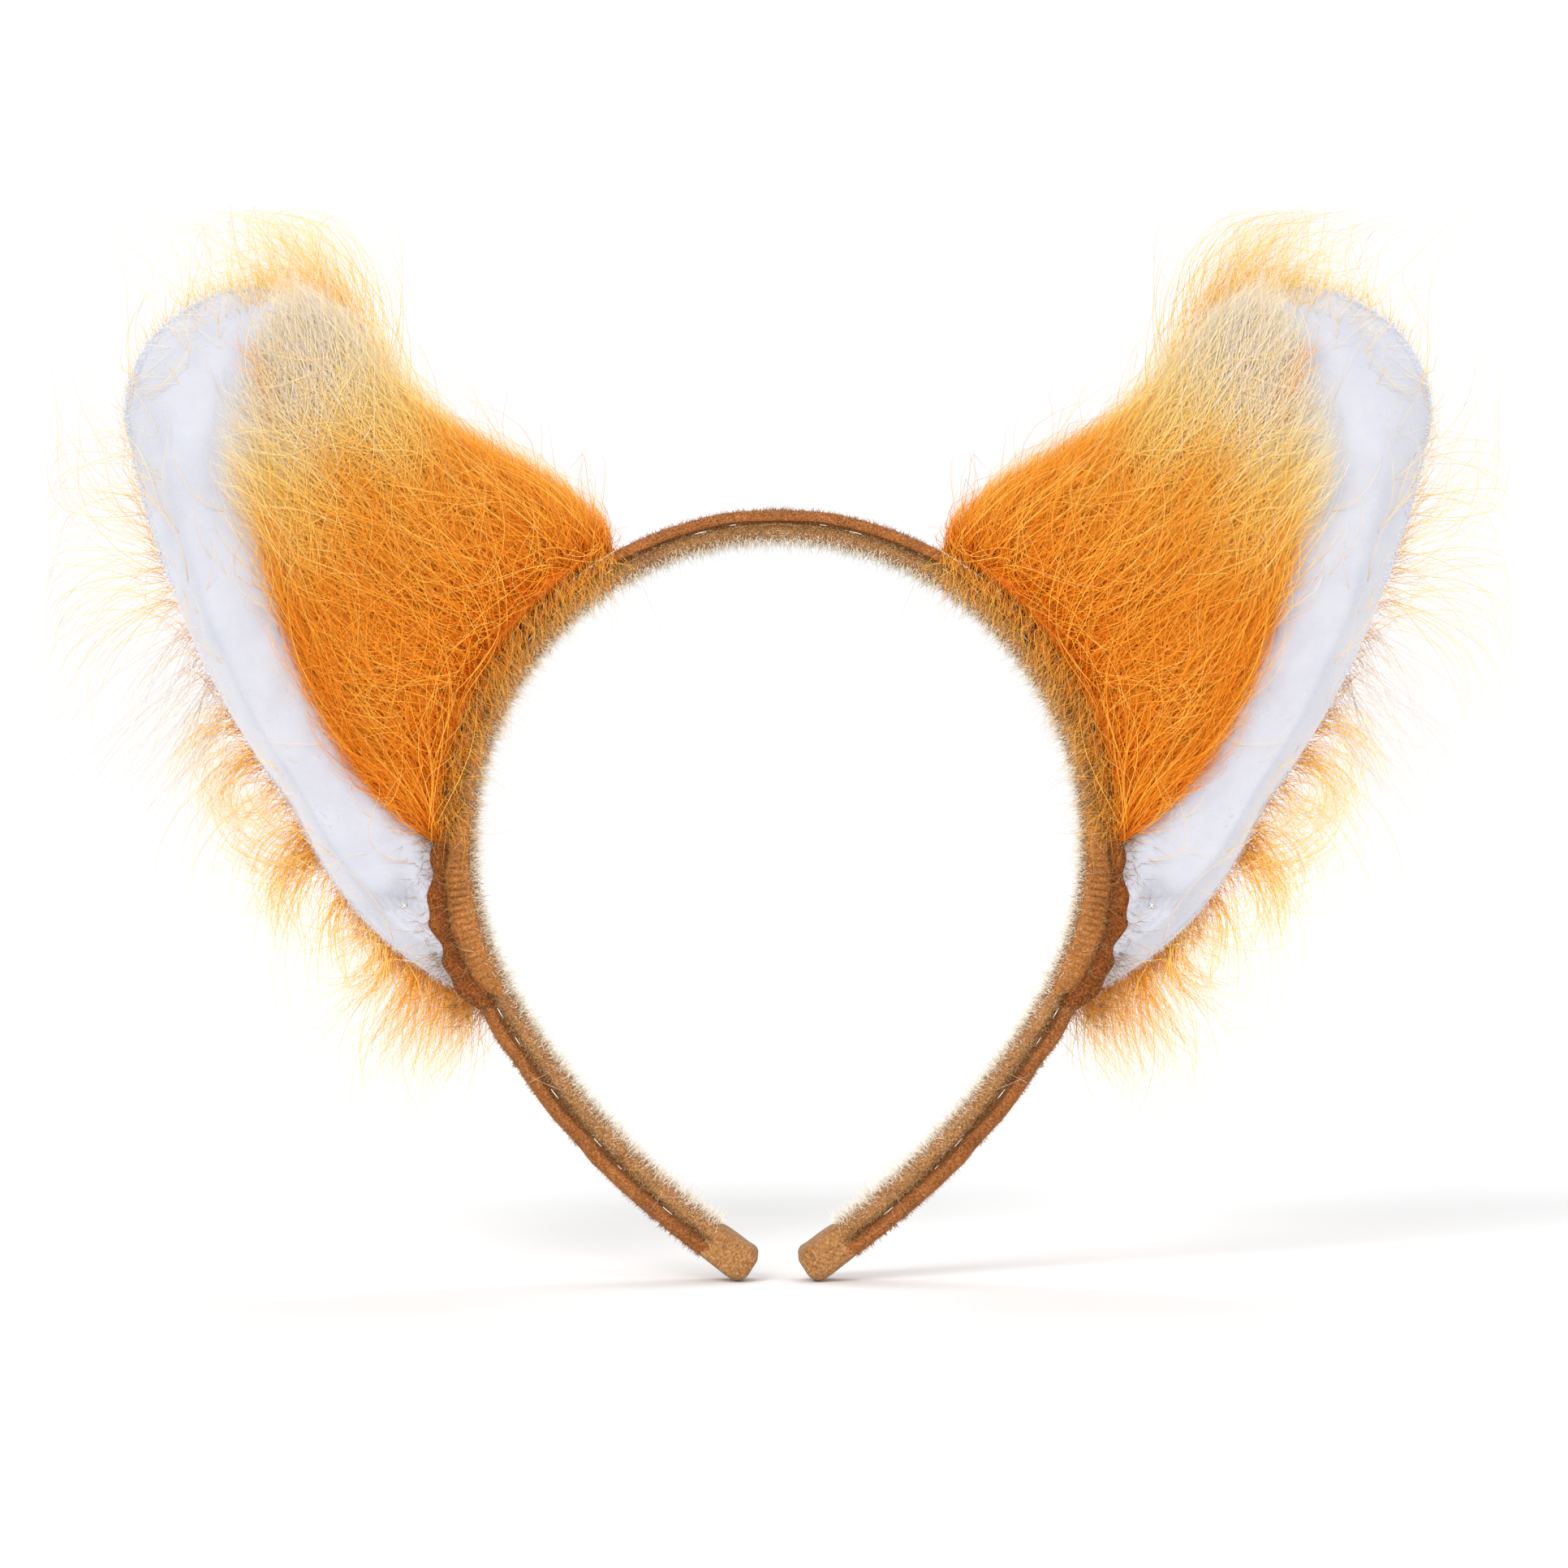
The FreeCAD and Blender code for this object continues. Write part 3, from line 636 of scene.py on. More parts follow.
def edge_thread(label, side):
    """Long running stitches in the groove between cover and lining, front and back."""
    pitch, length = 6.4 * MM, 2.9 * MM
    count = int((BAND_LENGTH - TIP_LENGTH) / pitch)
    begin = 0.8 * MM + pitch * np.arange(count)
    share = np.linspace(0, 1, 7)
    run = begin[:, None] + length * share[None]
    dive = 0.7 * MM * (2 * share - 1)[None] ** 4
    random = np.random.default_rng(41)
    sink = random.uniform(0.0, 0.75, (count, 1)) * MM
    sway = random.uniform(-0.2, 0.2, (count, 1)) * MM
    depth = BAND_HALF + 0.2 * MM - dive - sink
    paths = np.concatenate([band_point(side, run, SEAM + 0.1 * MM + sway + 0 * run, face * depth)
                            for face in (-1, 1)])
    radius = np.full(len(paths), 0.1 * MM)
    piece = strand_mesh(f"edge_thread_{label}", paths, radius, random.random(len(paths)), 6, 9)
    settle(piece, "thread", "thread", bend_with_band, label, side,
           "edge_stitches_crown", f"edge_stitches_{label}_arm")


def fuzz_paths(side, run, out, depth, normal, length, random):
    """Short bent hairs from points of the band; normal is (out, depth) per hair."""
    steps = np.linspace(0, 1, 5 if length.max() > 2 * MM else 3)
    lean = random.normal(0, 0.45, (len(run), 3)).clip(-0.7, 0.7)
    bend = random.normal(0, 0.35, (len(run), 3))
    reach = length[:, None] * steps[None]
    curve = length[:, None] * steps[None] ** 2
    along = run[:, None] + lean[:, :1] * reach + bend[:, :1] * curve
    away = out[:, None] + (normal[:, :1] + lean[:, 1:2]) * reach + bend[:, 1:2] * curve
    deep = depth[:, None] + (normal[:, 1:] + lean[:, 2:]) * reach + bend[:, 2:] * curve
    return band_point(side, along, away, deep)


def pile_spots(line, sheet, face, crowding, count, random):
    """Random places on a folded sheet, crowded towards its rims: run, (out, depth) and normal."""
    run = random.uniform(0, BAND_LENGTH - TIP_LENGTH + 1 * MM, count)
    place = random.beta(crowding, crowding, count) * (len(line) - 1)
    low = place.astype(int).clip(0, len(line) - 2)
    tangent = line[low + 1] - line[low]
    tangent /= np.linalg.norm(tangent, axis=1, keepdims=True)
    normal = face * np.stack([-tangent[:, 1], tangent[:, 0]], -1)
    return run, between(line, place) + normal * sheet * 0.47, normal


def lining_fuzz(label, side):
    """Plush pile: dense on both edges, paler and longer on the face against the head."""
    random = np.random.default_rng(51)
    count = 19500
    run, spot, normal = pile_spots(lining_line(), LINING_SHEET, 1, 0.55, count, random)
    inward = (-normal[:, 0]).clip(0, 1)
    length = (0.7 + 0.75 * inward) * random.uniform(0.5, 1.3, count) * MM
    paths = fuzz_paths(side, run, *spot.T, normal, length, random)
    shade = (0.42 + 0.8 * inward + random.normal(0, 0.15, count)).clip(0.3, 1)
    piece = strand_mesh(f"lining_pile_{label}", paths, random.uniform(0.055, 0.085, count) * MM, shade)
    settle(piece, "band_fuzz", "plush_lining", bend_with_band, label, side)


def cover_fuzz(label, side):
    """Very short velvet pile on the outside of the cover."""
    random = np.random.default_rng(61)
    count = 9500
    run, spot, normal = pile_spots(cover_line(), COVER_SHEET, -1, 0.7, count, random)
    length = random.uniform(0.35, 0.75, count) * MM
    paths = fuzz_paths(side, run, *spot.T, normal, length, random)
    shade = random.uniform(0, 0.16, count)
    piece = strand_mesh(f"cover_pile_{label}", paths, random.uniform(0.05, 0.075, count) * MM, shade)
    settle(piece, "band_fuzz", "velvet_cover", bend_with_band, label, side)


def lip_strays(label, side):
    """Loose brown hairs along the edge of the lip."""
    random = np.random.default_rng(66)
    count = 900
    run = random.uniform(math.radians(86), math.radians(120), count) * OPENING
    out = BAND_THICK + random.uniform(-1.5, 4.5, count) * MM
    depth = -BAND_HALF - random.uniform(0.2, 1.4, count) * MM
    normal = np.stack([random.normal(0.3, 0.6, count), random.normal(-0.6, 0.4, count)], -1)
    length = random.uniform(1.5, 5.5, count) * MM
    paths = fuzz_paths(side, run, out, depth, normal, length, random)
    piece = strand_mesh(f"lip_strays_{label}", paths, random.uniform(0.035, 0.06, count) * MM,
                        random.uniform(0.0, 0.5, count))
    settle(piece, "band_fuzz", "velvet_cover", ride_arm, label, side)


def band_strays(label, side):
    """A few long pale hairs caught on the band."""
    random = np.random.default_rng(67)
    count = 110
    run = random.uniform(0, 0.93 * BAND_LENGTH, count)
    out = random.uniform(0, BAND_THICK, count)
    depth = random.choice([-1, 1], count) * (BAND_HALF + 0.1 * MM)
    normal = np.stack([random.normal(0, 0.5, count), np.sign(depth) * random.uniform(0.05, 0.35, count)], -1)
    length = random.uniform(3, 9, count) * MM
    paths = fuzz_paths(side, run, out, depth, normal, length, random)
    piece = strand_mesh(f"band_strays_{label}", paths, np.full(count, 0.035 * MM),
                        random.uniform(0.65, 1.0, count))
    settle(piece, "band_fuzz", "plush_lining", bend_with_band, label, side)


for label, side in SIDES.items():
    for make in (lip_strays, band_strays, make_band, tip_fold, groove_shade_strip, rib_cuff, cover_lip, edge_thread,
                 lining_fuzz, cover_fuzz):
        make(label, side)


# ---------------------------------------------------------------- ear frame
# Ear shapes are drawn in millimetres: u out from the fold line, w up along it, y as in the world.

def ear_axes(label, side):
    """Origin on the fold line, then the outward and upward directions of one ear."""
    joint = joint_named(f"{label}_ear_fold")
    up = np.array(joint["axis"]) * math.copysign(1, joint["axis"][2])
    out = side * np.array([up[2], 0, -up[0]])
    return np.array(joint["pos_m"]) * [1, 0, 1], out, up


def ear_place(label, side, points):
    """Points[..., (u, w, y)] in mm to world metres, for one ear."""
    origin, out, up = ear_axes(label, side)
    points = np.asarray(points) * MM
    return origin + points[..., :1] * out + points[..., 1:2] * up + points[..., 2:] * [0, 1, 0]


FOLD_RADIUS = np.dot(*ear_axes("left", -1)[:2]) / MM


def bend_with_ear(piece, label, side):
    """Keep the piece where it was built, its placement baked into its points."""
    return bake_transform(piece)


def base_point(radius, angle):
    """Point on a circle about the middle of the head opening."""
    angle = np.radians(angle)
    return np.stack([radius * np.cos(angle) - FOLD_RADIUS, radius * np.sin(angle)], -1)


def arc(start, end, radius, count):
    """Points of an arc from start to end that bows to the right."""
    start, end = np.array(start), np.array(end)
    chord = end - start
    half = np.linalg.norm(chord) / 2
    left = np.array([-chord[1], chord[0]]) / (2 * half)
    centre = (start + end) / 2 + left * math.sqrt(radius ** 2 - half ** 2)
    first = math.atan2(*(start - centre)[::-1])
    angles = first + np.linspace(0, 2 * math.asin(half / radius), count)
    return centre + radius * np.stack([np.cos(angles), np.sin(angles)], -1)


def spaced(line, count):
    """The same line with evenly spaced points."""
    run = np.concatenate([[0], np.cumsum(np.linalg.norm(np.diff(line, axis=0), axis=1))])
    want = np.linspace(0, run[-1], count)
    return np.stack([np.interp(want, run, line[:, axis]) for axis in (0, 1)], -1)


# The foot of the ear runs round the band: heel, inner end of the flap, crown side (degrees).
HEEL_ANGLE, FLAP_ANGLE, CROWN_ANGLE = -46, -17, 44
FOOT_RADIUS = BAND_OUTER / MM + 0.4
HEEL = base_point(FOOT_RADIUS, HEEL_ANGLE)
CROWN_FOOT = base_point(FOOT_RADIUS, CROWN_ANGLE)
FLAP_FOOT = base_point(FOOT_RADIUS, FLAP_ANGLE)
TIP_LOW = np.array([83.3, 44.5])
TIP_HIGH = np.array([45.0, 75.5])
RIBS = 64    # points along each edge of the ear
OUTER_EDGE = spaced(np.concatenate([arc(HEEL, TIP_LOW, 200, 40), arc(TIP_LOW, TIP_HIGH, 27, 40)[1:]]), RIBS)
ALONG = np.linspace(0, 1, RIBS)
HEEL_SWELL = np.sin(math.pi * np.clip(ALONG / 0.27, 0, 1))
OUTER_EDGE = OUTER_EDGE + 3.4 * HEEL_SWELL[:, None] * [0.45, -0.89]
CROWN_EDGE = spaced(np.stack([CROWN_FOOT, TIP_HIGH]), RIBS)
CROWN_HOLLOW = smooth((ALONG - 0.18) / 0.5) * (1 - smooth((ALONG - 0.86) / 0.14))
CROWN_EDGE = CROWN_EDGE + 6.0 * CROWN_HOLLOW[:, None] * [0.39, -0.92]
BORDER = spaced(arc(FLAP_FOOT, TIP_HIGH, 80, 40), RIBS)


class Patch:
    """Part of the ear between two edges that meet at the tip, closed below by the base arc."""

    def __init__(self, first, second, low, high):
        self.first, self.second = first, second
        self.low, self.high = low, high

    def at(self, s, t):
        """Position for s across (0 first edge, 1 second) and t from the base to the tip."""
        s, t = np.broadcast_arrays(s, t)
        place = t * (RIBS - 1)
        first, second = between(self.first, place), between(self.second, place)
        base = base_point(FOOT_RADIUS, self.low + (self.high - self.low) * s)
        ends = self.first[0] * (1 - s[..., None]) + self.second[0] * s[..., None]
        return first * (1 - s[..., None]) + second * s[..., None] + (1 - t[..., None]) ** 2 * (base - ends)


FLAP = Patch(OUTER_EDGE, BORDER, HEEL_ANGLE, FLAP_ANGLE)
FRONT = Patch(BORDER, CROWN_EDGE, FLAP_ANGLE, CROWN_ANGLE)
WHOLE = Patch(OUTER_EDGE, CROWN_EDGE, HEEL_ANGLE, CROWN_ANGLE)


def roundness(s, t, first=0.16):
    """1 in the middle of a patch, falling in a quarter circle to 0 at its edges."""
    second, tip, foot = 0.16, 0.1, 0.04    # width of the fall at the other edges

    def rise(distance, width):
        near = 1 - np.clip(distance / width, 0, 1)
        return np.sqrt(np.clip(1 - near ** 2, 0, 1))
    return rise(s, first) * rise(1 - s, second) * rise(1 - t, tip) * (0.35 + 0.65 * rise(t, foot))


def pillow(name, label, side, patch, middle, half, rim=None, inset=0.0, ripple=0.0, seed=0, ribs=56,
           across=22, first=0.16):
    """Closed cushion over a patch; middle and half are numbers or functions of s, t (mm).

    All its edges lie at the depth `rim` when one is given.
    """
    lap = 0.5 - 0.5 * np.cos(np.linspace(0, math.pi, across))
    t = np.linspace(0.0, 0.995, ribs)[:, None]
    lap = lap * (1 - 2 * inset) + inset
    t = t * (1 - inset)
    ring_s = np.concatenate([lap, lap[-2:0:-1]])[None] + 0 * t
    face = np.concatenate([-np.ones(across), np.ones(across - 2)])[None]
    spot = patch.at(ring_s, t + 0 * ring_s)
    round_s = (ring_s - inset) / (1 - 2 * inset)
    rise = roundness(round_s, t, first)
    mid = middle(ring_s, t) if callable(middle) else middle
    thick = half(ring_s, t) if callable(half) else half
    if rim is not None:
        mid = rim + (mid - rim) * rise
    height = mid + face * thick * rise
    points = np.concatenate([spot, np.broadcast_to(height, ring_s.shape)[..., None]], -1)
    if ripple:
        points[..., 2] += ripple * rise * face * -wobble(points, 22, seed)
        points[..., 2] += 0.4 * ripple * rise * face * -wobble(points, 9, seed + 1)
    return ring_solid(name, ear_place(label, side, points), flat=True)


def flap_middle(s, t):
    """The flap's outer edge rolls back to the rear of the ear; its foot tucks behind the lip."""
    return -7.6 + 6.8 * smooth((0.36 - s) / 0.36) + 2.3 * (1 - smooth(t / 0.06)) * smooth(s / 0.4)


def flap_half(s, _t):
    """Half of the flap's thickness: fuller along its rolled edge."""
    return 2.3 + 2.1 * smooth((0.42 - s) / 0.42)


def puff_up(piece, pressure, cap):
    """Blow the cushion up as cloth, and let no point travel further than the cap."""
    rest = read_points(piece)
    cloth = piece.modifiers.new("cloth", "CLOTH")
    cloth.settings.use_pressure = True
    cloth.settings.uniform_pressure_force = pressure
    cloth.settings.effector_weights.gravity = 0
    cloth.settings.mass = 0.02
    cloth.settings.quality = 6
    cloth.settings.tension_stiffness = 12
    cloth.settings.compression_stiffness = 12
    cloth.settings.bending_stiffness = 0.4
    cloth.collision_settings.use_collision = False
    cloth.collision_settings.use_self_collision = False
    scene = bpy.context.scene
    for number in range(1, 21):
        scene.frame_set(number)
    view = bpy.context.evaluated_depsgraph_get()
    move = read_points(piece.evaluated_get(view)) - rest
    piece.modifiers.remove(cloth)
    scene.frame_set(1)
    far = np.linalg.norm(move, axis=1, keepdims=True) + 1e-9
    move *= np.minimum(far, cap) / far
    write_points(piece, rest + move)


def press_dimple(piece, label, side, centre, depth, width):
    """Pull the front of a cushion back around one point."""
    spot = ear_place(label, side, [*centre, -9.0])
    place = read_points(piece)
    aside, above = place[:, 0] - spot[0], place[:, 2] - spot[2]
    gap = np.hypot(aside, above) / (width * MM)
    pleats = 1 + 0.3 * np.cos(3 * np.arctan2(above, side * aside) + 0.8) * smooth(gap)
    front = place[:, 1] < -5.5 * MM
    place[:, 1] += np.where(front, depth * MM * np.exp(-(gap / pleats) ** 2), 0)
    write_points(piece, place)


TACK = (-1.2, -34.0)    # where the flap is tacked down, in (u, w)
FLAP_ROLL = 0.34    # share of the flap's width taken by its rolled outer edge


def ear_body(label, side):
    """Soft cushions of one ear: fleece flap, fur backings, stuffing and stiffener."""
    flap = pillow(f"soft_fleece_flap_{label}", label, side, FLAP, flap_middle, flap_half, ripple=0.35,
                  seed=71, ribs=84, across=30, first=FLAP_ROLL)
    puff_up(flap, 3.0, 1.2 * MM)
    press_dimple(flap, label, side, TACK, 5.4, 3.4)
    front = pillow(f"soft_front_fur_{label}", label, side, FRONT, -5.2, 3.6, -0.4, ripple=0.5, seed=81)
    back = pillow(f"soft_back_fur_{label}", label, side, WHOLE, 4.6, 3.9, 0.4, 0.008, 0.5, 91)
    core = pillow(f"soft_stiffener_{label}", label, side, WHOLE, 0, 0.4, inset=0.04)
    filling = pillow(f"soft_stuffing_{label}", label, side, WHOLE, -2.6, 1.9, -0.5, 0.06, 0.3, 95)
    for piece, material, slot in ((flap, "fleece", "white_fleece"), (front, "fur_backing", "orange_fur"),
                                  (back, "fur_backing", "orange_fur"), (core, "felt", "felt"),
                                  (filling, "wadding", "wadding")):
        settle(piece, material, slot, bend_with_ear, label, side, piece.name.removeprefix("soft_"))


# ---------------------------------------------------------------- fur

PARTING = np.array([32.0, 42.0])    # where the pile divides, in (u, w)
CALM = np.array([1.0, 1.0, 0.5])    # loose hairs stray less away from the cloth than along it
PALE_POCKET = np.array([44.0, 54.0])    # where the pale under pile shows most
FUR_LIMIT = np.array([151.8, 20.5, 130.8])    # hair stays inside this (world mm)
FUR_KNEE = np.array([8.0, 6.0, 7.0])    # and starts to turn aside this far before it
PIECE_TRIANGLES = 190000    # most triangles of one piece of fur; a strand of k points has 6 k - 8


def keep_inside(points):
    """Ease points that reach the edge of the allowed space back inside it (world mm)."""
    size = np.abs(points)
    start = FUR_LIMIT - FUR_KNEE
    over = np.clip(size - start, 0, None)
    eased = start + over / (1 + over / FUR_KNEE)
    return np.where(size > start, np.sign(points) * eased, points)


def unit(vectors):
    return vectors / (np.linalg.norm(vectors, axis=-1, keepdims=True) + 1e-9)


def lie_at(angle):
    """Directions at angles (radians) from the outward one, in the plane of the ear."""
    return np.stack([np.cos(angle), np.sin(angle), np.zeros(len(angle))], -1)


def turned(flow, angle, depth):
    """Directions turned by angles (radians) in the plane of the ear, and leaning by depth."""
    u, w = flow[:, 0], flow[:, 1]
    return np.stack([u * np.cos(angle) - w * np.sin(angle), u * np.sin(angle) + w * np.cos(angle),
                     np.full(len(flow), depth)], -1)


def raised(spot, height):
    """Points (u, w) at a height along Y."""
    return np.concatenate([spot, height[:, None]], 1)


def grow(root, first, last, length, steps, curl, random, lift=1.3):
    """Strands (u, w, y) that leave along `first` and lie down along `last`, with curl."""
    count = len(root)
    share = (np.arange(steps - 1) + 0.5) / (steps - 1)
    turn = ((1 - share) ** lift)[None, :, None]
    heading = unit(first)[:, None] * turn + unit(last)[:, None] * (1 - turn)
    phase = random.uniform(0, 2 * math.pi, (count, 1, 3))
    pace = random.uniform(2.0, 6.5, (count, 1, 3))
    swing = np.sin(phase + pace * share[None, :, None]) * curl[:, None, None]
    heading = unit(heading + swing * (0.25 + share[None, :, None]))
    moves = heading * (length / (steps - 1))[:, None, None]
    return np.concatenate([root[:, None], root[:, None] + np.cumsum(moves, axis=1)], 1)


def strands(random, root, first, lie, lean, length, vary, curl, steps, lift=1.3, calm=1.0):
    """Strands with a random lean, length and curl.

    `lean` is the spread of their direction at the root and further on; `vary` is the range that
    multiplies their length; `curl` is (least, more, power of the random share of more).
    """
    count = len(root)
    first = first + random.normal(0, lean[0], (count, 3)) * calm
    lie = lie + random.normal(0, lean[1], (count, 3)) * calm
    length = length * random.uniform(*vary, count)
    least, more, power = curl
    curl = least + more * random.random(count) ** power
    return grow(root, first, lie, length, steps, curl, random, lift)


def clump(paths, every, tightest, random):
    """Draw strands together toward neighbours' tips, as in brushed pile."""
    count, steps = paths.shape[:2]
    tightness = random.uniform(0.0, tightest, count)
    leaders = random.choice(count, max(1, count // every), replace=False)
    gap = np.linalg.norm(paths[:, None, 0, :2] - paths[None, leaders, 0, :2], axis=-1)
    lead = paths[leaders[np.argmin(gap, axis=1)]]
    pull = tightness[:, None, None] * (np.linspace(0, 1, steps) ** 1.2)[None, :, None]
    offset = (paths[:, :1] - lead[:, :1]) * 0.45
    return paths * (1 - pull) + (lead + offset) * pull


def fur_reach(paths):
    """How far towards the tip a strand lies (mm), with soft irregular borders."""
    spot = paths[:, paths.shape[1] * 3 // 5, :2]
    reach = 0.8 * spot[:, 0] + 0.6 * spot[:, 1] + 5 * wobble(spot, 26, 3)
    gap = paths[:, 0, :2] - PARTING
    near = np.exp(-(gap ** 2).sum(1) / 130)
    return reach + near * 7 * np.tanh((0.8 * gap[:, 0] + 0.6 * gap[:, 1]) / 2.5)


def fur_tone(paths, random, spread=0.09, golden=True):
    """Palette column by place: orange at the band, then golden hairs or a pale under pile."""
    reach = fur_reach(paths)
    spot = paths[:, 0, :2]
    if golden:
        pocket = np.exp(-((spot - PALE_POCKET) ** 2).sum(1) / 160)
        tone = 0.07 + 0.41 * smooth((reach - 44) / 17) + 0.18 * smooth((reach - 64) / 24) + 0.34 * pocket
    else:
        tone = 0.10 + 0.34 * smooth((reach - 43) / 18) + 0.46 * smooth((reach - 56) / 16)
    tone = tone + 0.08 * smooth((spot[:, 1] - 28) / 14) * (1 - smooth((reach - 42) / 22))
    mottle = 0.05 * wobble(spot, 18, 5) + 0.07 * wobble(spot, 5, 9)
    return tone + mottle + random.normal(0, spread, len(spot))


def lay(name, label, side, paths, radius, shade, material="fox_fur", slot="orange_fur"):
    """Place strands on one ear, in pieces small enough to export."""
    placed = keep_inside(ear_place(label, side, paths) / MM) * MM
    most = PIECE_TRIANGLES // (6 * paths.shape[1] - 8)
    for number in range(0, len(paths), most):
        part = slice(number, number + most)
        piece = strand_mesh(f"{name}_{label}_{number // most + 1}", placed[part],
                            radius[part] * MM, shade[part].clip(0, 1))
        settle(piece, material, slot, bend_with_ear, label, side)


def outline(edge, low):
    """Closed outline between an outer edge and the crown edge, with the curved base."""
    foot = base_point(FOOT_RADIUS, np.linspace(CROWN_ANGLE, low, 30))
    return np.concatenate([edge, CROWN_EDGE[::-1][1:], foot[1:]])


EAR_OUTLINE = outline(OUTER_EDGE, HEEL_ANGLE)
FRONT_OUTLINE = outline(BORDER, FLAP_ANGLE)


def overhang(spots, start):
    """Distance of (u, w) points outside an outline; 0 inside."""
    edge = np.roll(start, -1, axis=0) - start
    gap = spots[:, None] - start[None]
    part = np.clip((gap * edge).sum(-1) / ((edge ** 2).sum(-1) + 1e-9), 0, 1)
    near = np.linalg.norm(gap - part[..., None] * edge, axis=-1).min(1)
    low, high = start[None, :, 1], np.roll(start, -1, axis=0)[None, :, 1]
    level = spots[:, None, 1]
    reach = start[None, :, 0] + (level - low) / (high - low + 1e-9) * edge[None, :, 0]
    crossings = ((low > level) != (high > level)) & (spots[:, None, 0] < reach)
    return np.where(crossings.sum(1) % 2 == 1, 0, near)


def trim(paths, most, edge=EAR_OUTLINE):
    """Shorten strands whose tips pass the outline by more than `most`."""
    past = overhang(paths[:, -1, :2], edge)
    keep = np.clip(most / (past + 1e-6), 0.3, 1)[:, None, None]
    return paths[:, :1] + (paths - paths[:, :1]) * keep


def part_at_border(paths, most):
    """Keep strands low on the front from lying across the fleece, and the pile close at the tip."""
    free = 14 * smooth((paths[:, -1, 1] - 18) / 26)
    close = 1 - 0.6 * smooth((paths[:, 0, 1] - 56) / 14)
    return trim(trim(paths, 2.5 + free, FRONT_OUTLINE), most * close)


def front_flow(spot):
    """Lie of the pile on the front: up and out, steeper towards the tip."""
    steep = np.radians(29 + 12 * smooth(spot[:, 0] / 40) + 15 * smooth((spot[:, 1] - 22) / 40))
    return lie_at(steep + 0.16 * wobble(spot, 30, 7))


def front_roots(count, random, crowding):
    """Random roots on the front: s, the root (u, w, y) and the lie of the pile there."""
    s, t = 1.06 * random.random(count) ** 0.9 - 0.06, random.random(count) ** crowding * 0.985
    s = np.where(t > 0.45, s, s.clip(0, 1))
    height = -0.6 - 8.0 * roundness(s.clip(0, 1), t)
    root = raised(FRONT.at(s, t), np.where(s < 0.08, -8.4, height))
    return s, root, front_flow(root[:, :2])


def front_pile(random, count, crowding, stand, away, hold, lean, length, vary, curl, steps, lift):
    """Pile over the front.

    It starts along its lie and out of the cloth by the two shares in `stand`; at the crown edge,
    `away` turns its start and `hold` its lie.
    """
    s, root, flow = front_roots(count, random, crowding)
    crown_side = smooth((s - 0.8) / 0.2)[:, None]
    outer = length[1] * smooth((root[:, 0] + 10) / 50)
    return strands(random, root, flow * stand[0] + [0, 0, stand[1]] + crown_side * away,
                   flow + crown_side * hold, lean, length[0] + outer, vary, curl, steps, lift, CALM)


def under_pile(random, count):
    """Dense shorter pile of the front."""
    paths = front_pile(random, count, crowding=1.35, stand=(0.8, -0.9), away=[-0.3, 0.5, 0.3],
                       hold=[-0.1, 0.15, 0.0], lean=(0.4, 0.3), length=(18, 5), vary=(0.6, 1.3),
                       curl=(0.3, 0.5, 2), steps=7, lift=1.8)
    shade = fur_tone(paths, random, 0.07, golden=False) - 0.04
    return part_at_border(paths, 4.5), random.uniform(0.055, 0.08, count), shade


def long_pile(random, count):
    """Fine long hairs lying over the front, in soft waves."""
    paths = front_pile(random, count, crowding=1.2, stand=(1.0, -1.1), away=[-0.3, 0.45, 0.3],
                       hold=[-0.1, 0.05, 0.0], lean=(0.45, 0.32), length=(33, 6), vary=(0.5, 1.25),
                       curl=(0.25, 0.6, 2), steps=9, lift=1.6)
    lighter = np.where(random.random(count) < 0.4, 0.18, 0.04)
    shade = fur_tone(paths, random, 0.07) + lighter
    stray = np.where(random.random(count) < 0.06, 14, 5.5)
    return part_at_border(paths, stray), random.uniform(0.045, 0.07, count), shade


def guard_hairs(random, count):
    """Coarser bright hairs in loose sheaves over the front."""
    s, root, flow = front_roots(count, random, 1.05)
    root[:, 2] -= 1.2
    sheaf = 0.6 * wobble(root[:, :2], 11, 13) + random.normal(0, 0.12, count)
    flow = turned(flow, sheaf, -0.04)
    paths = strands(random, root, flow + [0, 0, -1.5], flow, lean=(0.25, 0.22), length=1,
                    vary=(24, 48), curl=(0.16, 0.4, 1), steps=12, lift=1.6, calm=CALM)
    paths = clump(paths, 14, 0.6, random)
    shade = fur_tone(paths, random, 0.05) + random.uniform(0.14, 0.36, count)
    pale = 0.3 * smooth((fur_reach(paths) - 58) / 16)
    shade = np.minimum(shade, random.uniform(0.40, 0.64, count) + pale)
    most = np.where(s > 0.7, 3.0, 8.0)
    return part_at_border(paths, most), random.uniform(0.07, 0.105, count), shade


def crossing_hairs(random, count):
    """Loose bright hairs that lie across the pile of the front."""
    s, root, flow = front_roots(count, random, 1.1)
    angle = np.radians(random.choice([-1, 1], count) * random.uniform(30, 115, count))
    lie = turned(flow, angle, -0.08)
    root[:, 2] -= 1.2
    first = 0.6 * flow + 0.4 * lie + [0, 0, -1.6] + random.normal(0, 0.3, (count, 3)) * CALM
    length = random.uniform(14, 38, count)
    curl = 0.25 + 0.5 * random.random(count)
    paths = grow(root, first, lie, length, 11, curl, random, 1.7)
    shade = np.minimum(fur_tone(paths, random) + 0.26, random.uniform(0.42, 0.66, count))
    shade += 0.12 * smooth((fur_reach(paths) - 60) / 16)
    most = np.where(s > 0.7, 3.0, 7.0)
    return part_at_border(paths, most), random.uniform(0.065, 0.1, count), shade


def back_flow(spot):
    """Lie of the pile on the back: down at the heel, out in the middle, up at the crown."""
    angle = np.clip(1.35 * spot[:, 1] + 4, -72, 72) * (1 - 0.2 * smooth((spot[:, 0] - 40) / 40))
    return lie_at(np.radians(angle))


